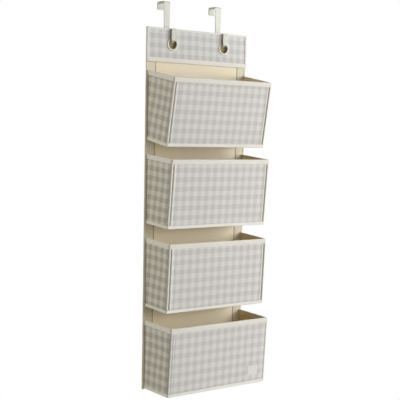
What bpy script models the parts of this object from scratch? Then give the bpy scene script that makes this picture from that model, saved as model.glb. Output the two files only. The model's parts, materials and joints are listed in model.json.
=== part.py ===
# Fabric organizer that hangs over a door, with four pockets that fold flat.
# Metres, +Z up, +X to the right of someone who faces it, and the pockets face -Y.
# The origin is midway between the two hooks, in the middle of the door's thickness,
# level with the underside of the bridges, which is the top of the door.
import math

import bmesh
import bpy
from mathutils import Matrix, Vector

# Clearance between neighbours, and how far a cutter runs past what it cuts
GAP = 0.0003
CUT_OVERRUN = 0.002

# Cloth and boards
CLOTH = 0.0008
SHEET_CLOTH = 0.0012
HEADER_BOARD = 0.0020
FRONT_BOARD = 0.0024
BASE_BOARD = 0.0024
BOARD_EDGE_ROUND = 0.0005
HINGE_CLOTH = 0.0004

# Door hooks, bent from flat strap
DOOR_GAP = 0.026
STRAP_THICKNESS = 0.0020
STRAP_TOP_WIDTH = 0.0215
STRAP_TIP_WIDTH = 0.0165
STRAP_EDGE_ROUND = 0.0003
STRAP_BEND_RADIUS = 0.0024
HOOK_SPACING = 0.180
HOOK_RETURN_LEG = 0.019
HOOK_DROP = 0.105
TROUGH_BEHIND_SHEET = 0.0210
TIP_SWING_ROOM = 0.0005
TIP_CORNER_RADIUS = 0.0030
STRAP_BEND_STEPS = 5
TIP_CORNER_STEPS = 4

# Header
HEADER_HEIGHT = 0.0905
HEADER_SIDE_BINDING = 0.0065
HEADER_TOP_BINDING = 0.0050
HEADER_HEM = 0.0115

# Eyelets
EYELET_DROP = 0.041
EYELET_BORE_RADIUS = 0.012
EYELET_FLANGE_RADIUS = 0.0185
EYELET_BARREL_RADIUS = 0.0140
EYELET_LIP_RADIUS = 0.0160
EYELET_METAL = 0.0008
EYELET_ROLL_RADIUS = 0.0055
EYELET_DOME = 0.0003
EYELET_SIDES = 32
EYELET_ROLL_STEPS = 6

# Back sheet
SHEET_WIDTH = 0.350
SHEET_BINDING = 0.0055
SHEET_TAIL = 0.0015
STITCH_LINE_INSET = 0.032
STITCH_GROOVE_WIDTH = 0.0012
STITCH_GROOVE_DEPTH = 0.0004

# Pockets: sewn in from the sheet's edges, with the depth measured along the base, outside, and each its own droop
POCKET_INSET = 0.007
POCKET_DEPTH = 0.095
POCKET_DEPTH_SHARES = (0.916, 0.998, 0.995, 1.106)
BASE_SLOPE_DEGREES = (12.1, 6.1, 5.5, 3.6)
FRONT_LEAN_DEGREES = (9.6, 5.0, 3.2, 3.8)
FIRST_BASE_DROP = 0.295
POCKET_PITCH = 0.220
POCKET_BACK_HEIGHT = 0.1825
POCKET_FRONT_HEIGHT = 0.181
MOUTH_BAND = 0.0125
BASE_BINDING = 0.0085
CORNER_SEAM_STANDS_OUT = 0.0014
SIDE_BOW = 0.0025
SIDE_STEPS = 10

# Sewn label on the lowest pocket
LABEL_WIDTH = 0.037
LABEL_HEIGHT = 0.026
LABEL_THICKNESS = 0.0005
LABEL_FROM_SIDE = 0.045
LABEL_ABOVE_BOTTOM = 0.037

# Colours of the materials
CREAM_PAINT = (0.72, 0.72, 0.60, 1.0)
CREAM_METAL = (0.74, 0.71, 0.62, 1.0)
GINGHAM = (0.60, 0.58, 0.55, 1.0)
CREAM_CLOTH = (0.66, 0.62, 0.48, 1.0)
CREAM_TAPE = (0.75, 0.73, 0.65, 1.0)
GREY_BOARD = (0.38, 0.35, 0.30, 1.0)
LABEL_WHITE = (0.80, 0.78, 0.72, 1.0)

# The layers of the header, from its middle plane: cover, board and sheet with gaps between
HEADER_STACK = CLOTH + GAP + HEADER_BOARD + GAP + SHEET_CLOTH
COVER_FRONT = -HEADER_STACK / 2
COVER_BACK = COVER_FRONT + CLOTH
BOARD_FRONT = COVER_BACK + GAP
BOARD_BACK = BOARD_FRONT + HEADER_BOARD
SHEET_FRONT = BOARD_BACK + GAP
SHEET_BACK = SHEET_FRONT + SHEET_CLOTH

# The header's frame has its origin at the middle of the header's top edge.
EYELET_FRONT = COVER_FRONT - GAP - EYELET_METAL
EYELET_BACK = SHEET_BACK + 2 * (GAP + EYELET_METAL)
EYELET_X = HOOK_SPACING / 2
STRAP_HALF_TIP = STRAP_TIP_WIDTH / 2


def bore_radius_at(depth):
    """Radius of the eyelet's rolled bore at a depth from the header's middle plane."""
    return EYELET_BORE_RADIUS + EYELET_ROLL_RADIUS - math.sqrt(EYELET_ROLL_RADIUS ** 2 - depth ** 2)


def height_in_ring(radius):
    """Height over the eyelet's centre at which a ring of this radius stands over the strap's edge."""
    return math.sqrt(radius ** 2 - STRAP_HALF_TIP ** 2)


# The strap's two edges carry the bore, and the cloth swings about the middle of the rolled metal there.
SEAT_OVER_EYELET = height_in_ring(EYELET_BORE_RADIUS)
AXIS_OVER_EYELET = height_in_ring(EYELET_BORE_RADIUS + EYELET_ROLL_RADIUS)
FLANGE_UNDER_AXIS = AXIS_OVER_EYELET - height_in_ring(bore_radius_at(EYELET_FRONT))
TIP_FROM_HEADER = math.hypot(EYELET_FRONT, FLANGE_UNDER_AXIS) + TIP_SWING_ROOM
UPRIGHT_Y = -DOOR_GAP / 2 - STRAP_THICKNESS
HEADER_Y = UPRIGHT_Y - TROUGH_BEHIND_SHEET - SHEET_BACK
TIP_Y = HEADER_Y - TIP_FROM_HEADER
AXIS_Z = -HOOK_DROP + GAP + AXIS_OVER_EYELET - SEAT_OVER_EYELET
HEADER_TOP_OVER_AXIS = EYELET_DROP - AXIS_OVER_EYELET
HEADER_TOP_Z = AXIS_Z + HEADER_TOP_OVER_AXIS
LOWEST_BASE = -FIRST_BASE_DROP - (len(POCKET_DEPTH_SHARES) - 1) * POCKET_PITCH

# Half widths across a pocket
POCKET_HALF = SHEET_WIDTH / 2 - POCKET_INSET
BAND_HALF = POCKET_HALF + GAP + CLOTH
SIDE_INNER_HALF = POCKET_HALF - CLOTH
BASE_HALF = SIDE_INNER_HALF - GAP

# Layers of a pocket's front, from the fold line at its foot, in the front's own frame
FRONT_INSIDE = -GAP
FRONT_STACK = CLOTH + GAP + FRONT_BOARD + GAP + CLOTH
FRONT_OUTSIDE = FRONT_INSIDE - FRONT_STACK
BAND_OUTSIDE = FRONT_OUTSIDE - GAP - CLOTH
BAND_INSIDE = FRONT_INSIDE + GAP + CLOTH
SIDE_START = BAND_INSIDE + GAP
WRAP = GAP + CLOTH
BASE_DEEP = HINGE_CLOTH + BASE_BOARD
FRONT_FOOT = -BASE_DEEP - WRAP
FRONT_TOP = FRONT_FOOT + POCKET_FRONT_HEIGHT


def turned(point, angle):
    """A point (y, z) turned by an angle about the X axis."""
    y, z = point
    return Vector((y * math.cos(angle) - z * math.sin(angle), y * math.sin(angle) + z * math.cos(angle)))


class Pocket:
    """The places of one pocket, as (y, z) in the header's frame."""

    def __init__(self, index):
        self.name = f"pocket_{index + 1}"
        self.slope = math.radians(BASE_SLOPE_DEGREES[index])
        self.lean = math.radians(FRONT_LEAN_DEGREES[index])
        self.heel = Vector((SHEET_FRONT, -FIRST_BASE_DROP - index * POCKET_PITCH))
        depth = POCKET_DEPTH * POCKET_DEPTH_SHARES[index]
        setback = GAP / math.cos(self.slope) - WRAP * math.tan(self.slope)
        self.half_base = (depth + BAND_OUTSIDE - setback) / 2
        axis_up = WRAP + BASE_DEEP
        self.rear_axis = self.heel + turned((-setback, axis_up), self.slope)
        self.front_axis = self.rear_axis + turned((-2 * self.half_base, 0), self.slope)

    def on_front(self, y, z):
        """A point given in the front's own frame."""
        return self.front_axis + turned((y, z), self.lean)

    def side_corners(self, inset_top, inset_foot, front_y):
        """Corners of a side: back foot, front foot, front top, back top."""
        back_y = SHEET_FRONT - GAP
        back_foot = Vector((back_y, self.heel.y + inset_foot))
        back_top = Vector((back_y, self.heel.y + POCKET_BACK_HEIGHT - inset_top))
        front_foot = self.on_front(front_y, FRONT_FOOT + inset_foot)
        front_top = self.on_front(front_y, FRONT_TOP - inset_top)
        return back_foot, front_foot, front_top, back_top


def clear_scene():
    for obj in list(bpy.data.objects):
        bpy.data.objects.remove(obj, do_unlink=True)


def new_collection(name):
    collection = bpy.data.collections.new(name)
    bpy.context.scene.collection.children.link(collection)
    return collection


def new_material(name, colour, roughness, metallic=0.0):
    material = bpy.data.materials.new(name)
    material.use_nodes = True
    shader = material.node_tree.nodes["Principled BSDF"]
    shader.inputs["Base Color"].default_value = colour
    shader.inputs["Roughness"].default_value = roughness
    shader.inputs["Metallic"].default_value = metallic
    return material


def place(obj, name, material, parent):
    """Give a finished mesh object its name, material, parent and collection."""
    obj.name = name
    obj.data.name = name
    for collection in list(obj.users_collection):
        collection.objects.unlink(obj)
    home = CUTTERS if material is None else PARTS
    home.objects.link(obj)
    obj.parent = parent
    if material is None:
        obj.hide_render = True
        obj.display_type = "WIRE"
    else:
        obj.data.materials.clear()
        obj.data.materials.append(material)
    return obj


def box(name, low, high, material=None, parent=None, edge_round=0.0):
    """A box between two corners in its parent's frame."""
    bpy.ops.mesh.primitive_cube_add(size=1)
    obj = bpy.context.object
    size = [high[axis] - low[axis] for axis in range(3)]
    centre = [(high[axis] + low[axis]) / 2 for axis in range(3)]
    obj.data.transform(Matrix.Diagonal((*size, 1)))
    place(obj, name, material, parent)
    obj.location = centre
    if edge_round:
        bevel = obj.modifiers.new("Rounded edges", "BEVEL")
        bevel.width = edge_round
        bevel.segments = 1
    return obj


def slab(name, outline, x_low, x_high, material=None, parent=None):
    """A flat outline of (y, z) points, given its width along X."""
    curve = bpy.data.curves.new(name, "CURVE")
    curve.dimensions = "2D"
    curve.fill_mode = "BOTH"
    curve.extrude = (x_high - x_low) / 2
    spline = curve.splines.new("POLY")
    spline.points.add(len(outline) - 1)
    for point, (y, z) in zip(spline.points, outline):
        point.co = (y, z, 0, 1)
    spline.use_cyclic_u = True
    flat = bpy.data.objects.new(name, curve)
    bpy.context.scene.collection.objects.link(flat)
    bpy.context.view_layer.update()
    mesh = bpy.data.meshes.new_from_object(flat.evaluated_get(bpy.context.evaluated_depsgraph_get()))
    bpy.data.objects.remove(flat, do_unlink=True)
    shaped = bmesh.new()
    shaped.from_mesh(mesh)
    bmesh.ops.remove_doubles(shaped, verts=shaped.verts, dist=GAP / 3)
    # The outline's plane becomes YZ, and its width runs along X.
    upright = Matrix(((0, 0, 1, (x_low + x_high) / 2), (1, 0, 0, 0), (0, 1, 0, 0), (0, 0, 0, 1)))
    bmesh.ops.transform(shaped, matrix=upright, verts=shaped.verts)
    bmesh.ops.recalc_face_normals(shaped, faces=shaped.faces)
    shaped.to_mesh(mesh)
    shaped.free()
    obj = bpy.data.objects.new(name, mesh)
    bpy.context.scene.collection.objects.link(obj)
    return place(obj, name, material, parent)


def rod_cutter(name, centre, radius, depth, parent):
    """A round cutter along Y."""
    bpy.ops.mesh.primitive_cylinder_add(vertices=EYELET_SIDES, radius=radius, depth=depth)
    obj = bpy.context.object
    obj.data.transform(Matrix.Rotation(math.pi / 2, 4, "X"))
    place(obj, name, None, parent)
    obj.location = centre
    return obj


def boolean(obj, other, operation="DIFFERENCE"):
    modifier = obj.modifiers.new(other.name, "BOOLEAN")
    modifier.operation = operation
    modifier.object = other
    modifier.solver = "EXACT"


def ring(name, profile, material, parent, location):
    """A turned ring about Y, from a closed profile of (radius, y) points, front to back on its outer side."""
    mesh = bpy.data.meshes.new(name)
    shape = bmesh.new()
    # The profile stands at +X with Z pointing to the front, and the Screw turns it about Z.
    points = [shape.verts.new((radius, 0, -y)) for radius, y in profile]
    for first, second in zip(points, points[1:] + points[:1]):
        shape.edges.new((first, second))
    shape.to_mesh(mesh)
    shape.free()
    obj = bpy.data.objects.new(name, mesh)
    bpy.context.scene.collection.objects.link(obj)
    place(obj, name, material, parent)
    obj.location = location
    obj.rotation_euler.x = math.pi / 2
    screw = obj.modifiers.new("Turned", "SCREW")
    screw.angle = math.tau
    screw.steps = EYELET_SIDES
    screw.render_steps = EYELET_SIDES
    screw.use_merge_vertices = True
    screw.merge_threshold = 0.0001
    screw.use_smooth_shade = True
    return obj


def strap_path(corners, radius):
    """Points (y, z) along the strap's middle, with its square bends rounded."""
    path = [Vector(corners[0])]
    for before, corner, after in zip(corners, corners[1:], corners[2:]):
        corner = Vector(corner)
        start = (Vector(before) - corner).normalized()
        end = (Vector(after) - corner).normalized()
        centre = corner + (start + end) * radius
        for step in range(STRAP_BEND_STEPS + 1):
            turn = math.radians(90) * step / STRAP_BEND_STEPS
            path.append(centre - end * radius * math.cos(turn) - start * radius * math.sin(turn))
    path.append(Vector(corners[-1]))
    return path


def hook(name, side, material):
    """One flat strap: return leg, bridge over the door, upright, trough and front tip."""
    half = STRAP_THICKNESS / 2
    back_y = DOOR_GAP / 2 + half
    front_y = UPRIGHT_Y + half
    tip_y = TIP_Y - half
    corners = [
        (back_y, -HOOK_RETURN_LEG),
        (back_y, half),
        (front_y, half),
        (front_y, -HOOK_DROP - half),
        (tip_y, -HOOK_DROP - half),
        (tip_y, HEADER_TOP_Z),
    ]
    path = strap_path(corners, STRAP_BEND_RADIUS)
    # Both ends of the strap have rounded corners, so extra points stand close to the ends.
    corner_steps = [1 - math.cos(math.radians(90) * step / TIP_CORNER_STEPS) for step in range(TIP_CORNER_STEPS + 1)]
    up = Vector((0, 1))
    ends = [TIP_CORNER_RADIUS * step for step in corner_steps]
    path = [path[0] + up * reach for reach in ends] + path[1:-1] + [path[-1] - up * reach for reach in reversed(ends)]
    lengths = [0.0]
    for first, second in zip(path, path[1:]):
        lengths.append(lengths[-1] + (second - first).length)
    shape = bmesh.new()
    rows = []
    for point, length in zip(path, lengths):
        below_bridge = max(0.0, min(1.0, -point.y / HOOK_DROP))
        before_upright = point.x > front_y + STRAP_BEND_RADIUS
        taper = 0.0 if before_upright else below_bridge
        if point.x < front_y - STRAP_BEND_RADIUS:
            taper = 1.0
        width = STRAP_TOP_WIDTH + (STRAP_TIP_WIDTH - STRAP_TOP_WIDTH) * taper
        to_end = min(length, lengths[-1] - length, TIP_CORNER_RADIUS)
        trimmed = TIP_CORNER_RADIUS - math.sqrt(TIP_CORNER_RADIUS ** 2 - (TIP_CORNER_RADIUS - to_end) ** 2)
        x = width / 2 - trimmed
        rows.append([shape.verts.new((-x, point.x, point.y)), shape.verts.new((x, point.x, point.y))])
    for first, second in zip(rows, rows[1:]):
        shape.faces.new((first[0], first[1], second[1], second[0]))
    mesh = bpy.data.meshes.new(name)
    shape.to_mesh(mesh)
    shape.free()
    obj = bpy.data.objects.new(name, mesh)
    bpy.context.scene.collection.objects.link(obj)
    place(obj, name, material, None)
    obj.location.x = side * EYELET_X
    solidify = obj.modifiers.new("Strap thickness", "SOLIDIFY")
    solidify.thickness = STRAP_THICKNESS
    solidify.offset = 0
    solidify.use_even_offset = True
    bevel = obj.modifiers.new("Softened edges", "BEVEL")
    bevel.width = STRAP_EDGE_ROUND
    bevel.segments = 1
    bevel.limit_method = "ANGLE"
    bevel.angle_limit = math.radians(50)
    return obj


def eyelet(name, side, material, frame):
    """Flange in front, a bore rolled towards the strap, and a lip turned out over the washer."""
    flange_back = EYELET_FRONT + EYELET_METAL
    lip_front = EYELET_BACK - EYELET_METAL
    profile = [
        (bore_radius_at(EYELET_FRONT) + EYELET_METAL, EYELET_FRONT - EYELET_DOME),
        (EYELET_FLANGE_RADIUS - EYELET_METAL, EYELET_FRONT),
        (EYELET_FLANGE_RADIUS, flange_back - EYELET_METAL / 4),
        (EYELET_FLANGE_RADIUS, flange_back),
        (EYELET_BARREL_RADIUS, flange_back),
        (EYELET_BARREL_RADIUS, lip_front),
        (EYELET_LIP_RADIUS, lip_front),
        (EYELET_LIP_RADIUS, EYELET_BACK),
    ]
    for step in range(EYELET_ROLL_STEPS + 1):
        depth = EYELET_BACK + (EYELET_FRONT - EYELET_BACK) * step / EYELET_ROLL_STEPS
        profile.append((bore_radius_at(depth), depth))
    return ring(name, profile, material, frame, (side * EYELET_X, 0, -EYELET_DROP))


def eyelet_washer(name, side, material, frame):
    """A washer behind the sheet, trapped by the eyelet's lip."""
    front = SHEET_BACK + GAP
    back = front + EYELET_METAL
    bore = EYELET_BARREL_RADIUS + GAP
    profile = [(EYELET_FLANGE_RADIUS, front), (EYELET_FLANGE_RADIUS, back), (bore, back), (bore, front)]
    return ring(name, profile, material, frame, (side * EYELET_X, 0, -EYELET_DROP))


def cut_eyelet_holes(obj, frame):
    """Holes for the two barrels through one layer of the header."""
    for side, word in ((-1, "left"), (1, "right")):
        centre = (side * EYELET_X, 0, -EYELET_DROP)
        depth = 2 * (HEADER_STACK + CUT_OVERRUN)
        cutter = rod_cutter(f"{obj.name}_hole_{word}", centre, EYELET_BARREL_RADIUS + GAP, depth, frame)
        boolean(obj, cutter)


def header(cover_material, board_material, tape_material, frame):
    """Cover and board in front of the sheet, the binding over them all, and the hem band below."""
    half = SHEET_WIDTH / 2
    inner_half = half - WRAP
    foot = -HEADER_HEIGHT + WRAP
    cover = box("header_cover", (-inner_half, COVER_FRONT, foot), (inner_half, COVER_BACK, -WRAP),
                cover_material, frame)
    cut_eyelet_holes(cover, frame)
    board = box("header_board", (-inner_half, BOARD_FRONT, foot), (inner_half, BOARD_BACK, -WRAP),
                board_material, frame)
    cut_eyelet_holes(board, frame)
    front = COVER_FRONT - WRAP
    back = SHEET_BACK + WRAP
    binding = box("header_binding", (-half, front, -HEADER_HEIGHT), (half, back, 0), tape_material, frame)
    slot_foot = -HEADER_HEIGHT - CUT_OVERRUN
    slot = box("header_binding_slot", (-half + CLOTH, COVER_FRONT - GAP, slot_foot),
               (half - CLOTH, SHEET_BACK + GAP, -CLOTH), None, frame)
    boolean(binding, slot)
    window_half = half - HEADER_SIDE_BINDING
    window = box("header_binding_window", (-window_half, front - CUT_OVERRUN, slot_foot),
                 (window_half, back + CUT_OVERRUN, -HEADER_TOP_BINDING), None, frame)
    boolean(binding, window)
    hem_half = window_half - GAP
    hem = box("header_hem", (-hem_half, front, -HEADER_HEIGHT),
              (hem_half, SHEET_FRONT - GAP, -HEADER_HEIGHT + HEADER_HEM), tape_material, frame)
    seat = box("header_hem_seat", (-half, COVER_FRONT - GAP, -HEADER_HEIGHT + CLOTH),
               (half, SHEET_FRONT + CUT_OVERRUN, 0), None, frame)
    boolean(hem, seat)


def back_sheet(sheet_material, tape_material, frame):
    """One sheet with two stitched grooves down its front, and a folded binding on each side edge."""
    half = SHEET_WIDTH / 2 - WRAP
    foot = LOWEST_BASE - SHEET_TAIL
    sheet = box("back_sheet", (-half, SHEET_FRONT, foot), (half, SHEET_BACK, -WRAP), sheet_material, frame)
    groove_half = STITCH_GROOVE_WIDTH / 2
    for side, word in ((-1, "left"), (1, "right")):
        line_x = side * (SHEET_WIDTH / 2 - STITCH_LINE_INSET)
        groove = box(f"stitch_groove_{word}",
                     (line_x - groove_half, SHEET_FRONT - CUT_OVERRUN, foot - CUT_OVERRUN),
                     (line_x + groove_half, SHEET_FRONT + STITCH_GROOVE_DEPTH, -HEADER_HEIGHT), None, frame)
        boolean(sheet, groove)
        outer = side * SHEET_WIDTH / 2
        inner = side * (SHEET_WIDTH / 2 - SHEET_BINDING)
        web = side * (SHEET_WIDTH / 2 - CLOTH)
        binding = box(f"sheet_binding_{word}",
                      (min(outer, inner), SHEET_FRONT - WRAP, foot),
                      (max(outer, inner), SHEET_BACK + WRAP, -HEADER_HEIGHT - GAP), tape_material, frame)
        past = inner - side * CUT_OVERRUN
        slot = box(f"sheet_binding_slot_{word}",
                   (min(web, past), SHEET_FRONT - GAP, foot - CUT_OVERRUN),
                   (max(web, past), SHEET_BACK + GAP, -HEADER_HEIGHT + CUT_OVERRUN), None, frame)
        boolean(binding, slot)
    cut_eyelet_holes(sheet, frame)


def pocket_side(pocket, side, word, material, frame):
    """A soft side that draws in a little between its hems."""
    back_foot, front_foot, front_top, back_top = pocket.side_corners(WRAP, WRAP, SIDE_START)
    flat_foot = BASE_BINDING / POCKET_BACK_HEIGHT
    flat_top = 1 - MOUTH_BAND / POCKET_BACK_HEIGHT
    shape = bmesh.new()
    bmesh.ops.create_grid(shape, x_segments=SIDE_STEPS, y_segments=SIDE_STEPS, size=0.5)
    for vert in shape.verts:
        forward = vert.co.x + 0.5
        up = vert.co.y + 0.5
        back = back_foot.lerp(back_top, up)
        front = front_foot.lerp(front_top, up)
        point = back.lerp(front, forward)
        free = max(0.0, min(1.0, (up - flat_foot) / (flat_top - flat_foot)))
        bow = SIDE_BOW * math.sin(math.pi * forward) * math.sin(math.pi * free) ** 2
        vert.co = (side * (POCKET_HALF - CLOTH / 2 - bow), point.x, point.y)
    bmesh.ops.recalc_face_normals(shape, faces=shape.faces)
    mesh = bpy.data.meshes.new(f"{pocket.name}_side_{word}")
    shape.to_mesh(mesh)
    shape.free()
    obj = bpy.data.objects.new(mesh.name, mesh)
    bpy.context.scene.collection.objects.link(obj)
    place(obj, f"{pocket.name}_side_{word}", material, frame)
    mesh.shade_smooth()
    solidify = obj.modifiers.new("Cloth thickness", "SOLIDIFY")
    solidify.thickness = CLOTH
    solidify.offset = 0
    bind_side_foot(pocket, side, word, obj, frame)


def side_band(pocket, side, word, material, frame):
    """Tape folded over the top edge of one side."""
    _, _, front_top, back_top = pocket.side_corners(0, 0, SIDE_START)
    _, _, front_low, back_low = pocket.side_corners(MOUTH_BAND, 0, SIDE_START)
    _, _, front_web, back_web = pocket.side_corners(CLOTH, 0, SIDE_START)
    inner = SIDE_INNER_HALF - WRAP
    name = f"{pocket.name}_side_band_{word}"
    edges = sorted((side * inner, side * BAND_HALF))
    band = slab(name, [back_low, front_low, front_top, back_top], *edges, material, frame)
    # The slot's top line runs past both ends at the slope of the band's top.
    past = CUT_OVERRUN
    rise = (back_web.y - front_web.y) / (back_web.x - front_web.x)
    slot_outline = [
        back_low + Vector((past, -past)),
        front_low + Vector((-past, -past)),
        front_web + Vector((-past, -past * rise)),
        back_web + Vector((past, past * rise)),
    ]
    edges = sorted((side * (inner + CLOTH), side * (BAND_HALF - CLOTH)))
    boolean(band, slab(f"{name}_slot", slot_outline, *edges, None, frame))


def bind_side_foot(pocket, side, word, panel, frame):
    """The tape round a side's foot, sewn to the side as one piece with it."""
    back_foot, front_foot, _, _ = pocket.side_corners(0, 0, SIDE_START + GAP)
    back_high, front_high, _, _ = pocket.side_corners(0, BASE_BINDING, SIDE_START + GAP)
    set_back = Vector((-GAP, 0))
    outline = [back_foot + set_back, back_high + set_back, front_high, front_foot]
    edges = sorted((side * (SIDE_INNER_HALF + CLOTH / 4), side * BAND_HALF))
    boolean(panel, slab(f"{pocket.name}_foot_tape_{word}", outline, *edges, None, frame), "UNION")


def pocket_front(pocket, cloth, board, tape, front):
    """Front sleeve with its board, the band over its top, and the binding under its foot."""
    name = pocket.name
    foot = -BASE_DEEP
    cover_top = FRONT_TOP - WRAP
    cover = box(f"{name}_front_cover", (-POCKET_HALF, FRONT_OUTSIDE, foot), (POCKET_HALF, FRONT_INSIDE, cover_top),
                cloth, front, BOARD_EDGE_ROUND)
    inner_half = POCKET_HALF - CLOTH
    sleeve = box(f"{name}_sleeve", (-inner_half, FRONT_OUTSIDE + CLOTH, foot + CLOTH),
                 (inner_half, FRONT_INSIDE - CLOTH, cover_top + CUT_OVERRUN), None, front)
    boolean(cover, sleeve)
    pinch_corners(pocket, cover, front)
    board_half = inner_half - GAP
    board_front = FRONT_OUTSIDE + CLOTH + GAP
    box(f"{name}_front_board", (-board_half, board_front, foot + WRAP),
        (board_half, board_front + FRONT_BOARD, cover_top - GAP), board, front, BOARD_EDGE_ROUND)
    # The band's inner face stops short of the sides.
    band = box(f"{name}_mouth_band", (-BAND_HALF, BAND_OUTSIDE, FRONT_TOP - MOUTH_BAND),
               (BAND_HALF, BAND_INSIDE, FRONT_TOP), tape, front)
    slot_half = BAND_HALF - CLOTH
    slot = box(f"{name}_mouth_band_slot", (-slot_half, FRONT_OUTSIDE - GAP, FRONT_TOP - MOUTH_BAND - CUT_OVERRUN),
               (slot_half, FRONT_INSIDE + GAP, FRONT_TOP - CLOTH), None, front)
    boolean(band, slot)
    binding = box(f"{name}_base_binding", (-BAND_HALF, BAND_OUTSIDE, FRONT_FOOT),
                  (BAND_HALF, BAND_INSIDE, FRONT_FOOT + BASE_BINDING), tape, front)
    seat = box(f"{name}_base_binding_seat", (-slot_half, FRONT_OUTSIDE - GAP, FRONT_FOOT + CLOTH),
               (slot_half, BAND_INSIDE + CUT_OVERRUN, FRONT_TOP), None, front)
    boolean(binding, seat)


def pinch_corners(pocket, cover, front):
    """The cover's own cloth, pinched into a narrow seam behind each front corner."""
    low_z = FRONT_FOOT + BASE_BINDING + GAP
    high_z = FRONT_TOP - MOUTH_BAND - GAP
    outer = POCKET_HALF + CORNER_SEAM_STANDS_OUT
    for side, word in ((-1, "left"), (1, "right")):
        edges = sorted((side * SIDE_INNER_HALF, side * outer))
        seam = box(f"{pocket.name}_corner_seam_{word}", (edges[0], FRONT_INSIDE - CLOTH / 2, low_z),
                   (edges[1], BAND_INSIDE, high_z), None, front)
        boolean(cover, seam, "UNION")


def pocket_base(pocket, cloth, rear, crease):
    """Two covered boards that meet at the crease."""
    low = -BASE_DEEP
    high = -HINGE_CLOTH
    box(f"{pocket.name}_base_rear", (-BASE_HALF, -pocket.half_base + GAP / 2, low), (BASE_HALF, 0, high),
        cloth, rear, BOARD_EDGE_ROUND)
    # The crease's own frame lies one hinge cloth under the boards.
    box(f"{pocket.name}_base_front", (-BASE_HALF, -pocket.half_base, HINGE_CLOTH),
        (BASE_HALF, -GAP / 2, HINGE_CLOTH + BASE_BOARD), cloth, crease, BOARD_EDGE_ROUND)


def label(front, material):
    """A bare sewn label on the front of the lowest pocket."""
    centre_x = POCKET_HALF - LABEL_FROM_SIDE
    centre_z = FRONT_FOOT + LABEL_ABOVE_BOTTOM
    back = FRONT_OUTSIDE - GAP
    box("label", (centre_x - LABEL_WIDTH / 2, back - LABEL_THICKNESS, centre_z - LABEL_HEIGHT / 2),
        (centre_x + LABEL_WIDTH / 2, back, centre_z + LABEL_HEIGHT / 2), material, front)


def joint_empty(name, parent, location, turn=0.0):
    """An empty on a joint's axis, which carries the pieces that turn there."""
    empty = bpy.data.objects.new(name, None)
    empty.empty_display_size = DOOR_GAP
    empty.parent = parent
    empty.location = location
    empty.rotation_euler.x = turn
    PARTS.objects.link(empty)
    return empty


def build():
    paint = new_material("cream_paint", CREAM_PAINT, 0.45)
    metal = new_material("eyelet_metal", CREAM_METAL, 0.40, 0.3)
    gingham = new_material("gingham_cloth", GINGHAM, 0.90)
    cream = new_material("cream_cloth", CREAM_CLOTH, 0.95)
    tape = new_material("binding_tape", CREAM_TAPE, 0.85)
    board = new_material("stiffener_board", GREY_BOARD, 0.90)
    white = new_material("label_cloth", LABEL_WHITE, 0.80)

    hook("hook_left", -1, paint)
    hook("hook_right", 1, paint)

    swing = joint_empty("swing_axis", None, (0, HEADER_Y, AXIS_Z))
    frame = joint_empty("header_frame", swing, (0, 0, HEADER_TOP_OVER_AXIS))
    eyelet("eyelet_left", -1, metal, frame)
    eyelet("eyelet_right", 1, metal, frame)
    eyelet_washer("eyelet_washer_left", -1, metal, frame)
    eyelet_washer("eyelet_washer_right", 1, metal, frame)
    header(gingham, board, tape, frame)
    back_sheet(cream, tape, frame)

    for index in range(len(POCKET_DEPTH_SHARES)):
        pocket = Pocket(index)
        name = pocket.name
        rear = joint_empty(f"{name}_rear_fold", frame, (0, *pocket.rear_axis), pocket.slope)
        crease = joint_empty(f"{name}_crease", rear, (0, -pocket.half_base, -BASE_DEEP - HINGE_CLOTH))
        front = joint_empty(f"{name}_front_fold", crease, (0, -pocket.half_base, BASE_DEEP + HINGE_CLOTH),
                            pocket.lean - pocket.slope)
        pocket_base(pocket, cream, rear, crease)
        pocket_front(pocket, gingham, board, tape, front)
        for side, word in ((-1, "left"), (1, "right")):
            pocket_side(pocket, side, word, gingham, frame)
            side_band(pocket, side, word, tape, frame)
    label(front, white)


clear_scene()
PARTS = new_collection("Fabric organizer")
CUTTERS = new_collection("Cutters")
build()
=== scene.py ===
# Fabric wall organizer: its cloth, tapes, stitching, metal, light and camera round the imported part
import json
import math

import bmesh
import bpy
import numpy as np
from mathutils import Matrix, Vector


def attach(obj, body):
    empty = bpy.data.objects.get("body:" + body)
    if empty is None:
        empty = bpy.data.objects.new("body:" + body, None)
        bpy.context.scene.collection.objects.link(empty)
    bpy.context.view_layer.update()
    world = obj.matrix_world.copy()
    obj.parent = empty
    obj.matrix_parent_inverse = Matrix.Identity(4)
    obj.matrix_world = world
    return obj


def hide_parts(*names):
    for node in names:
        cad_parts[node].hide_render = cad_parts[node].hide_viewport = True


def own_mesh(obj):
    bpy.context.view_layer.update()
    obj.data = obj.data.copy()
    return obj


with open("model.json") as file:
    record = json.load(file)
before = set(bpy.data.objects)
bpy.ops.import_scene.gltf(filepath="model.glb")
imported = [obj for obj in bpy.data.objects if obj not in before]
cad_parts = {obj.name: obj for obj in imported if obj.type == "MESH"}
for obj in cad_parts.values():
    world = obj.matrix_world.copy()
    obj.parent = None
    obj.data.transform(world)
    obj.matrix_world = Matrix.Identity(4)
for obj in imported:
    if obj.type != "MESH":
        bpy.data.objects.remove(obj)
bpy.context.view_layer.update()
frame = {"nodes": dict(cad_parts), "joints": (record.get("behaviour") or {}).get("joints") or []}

NODES = frame["nodes"]
JOINTS = {joint["name"]: joint for joint in frame["joints"]}
MM = 0.001

# Cloths, tapes and the gap at every seat, in metres
GAP = 0.3 * MM
CLOTH = 0.5 * MM
SHEET_CLOTH = 0.9 * MM
TAPE = 0.6 * MM

# How far apart the points of a cloth, a tape and a line of stitches lie
HEADER_STEP = 3.5 * MM
SHEET_STEP = 4.0 * MM
CLOTH_STEP = 5 * MM
TAPE_STEP = 3.2 * MM
SEAM_STEP = 6 * MM

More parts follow.
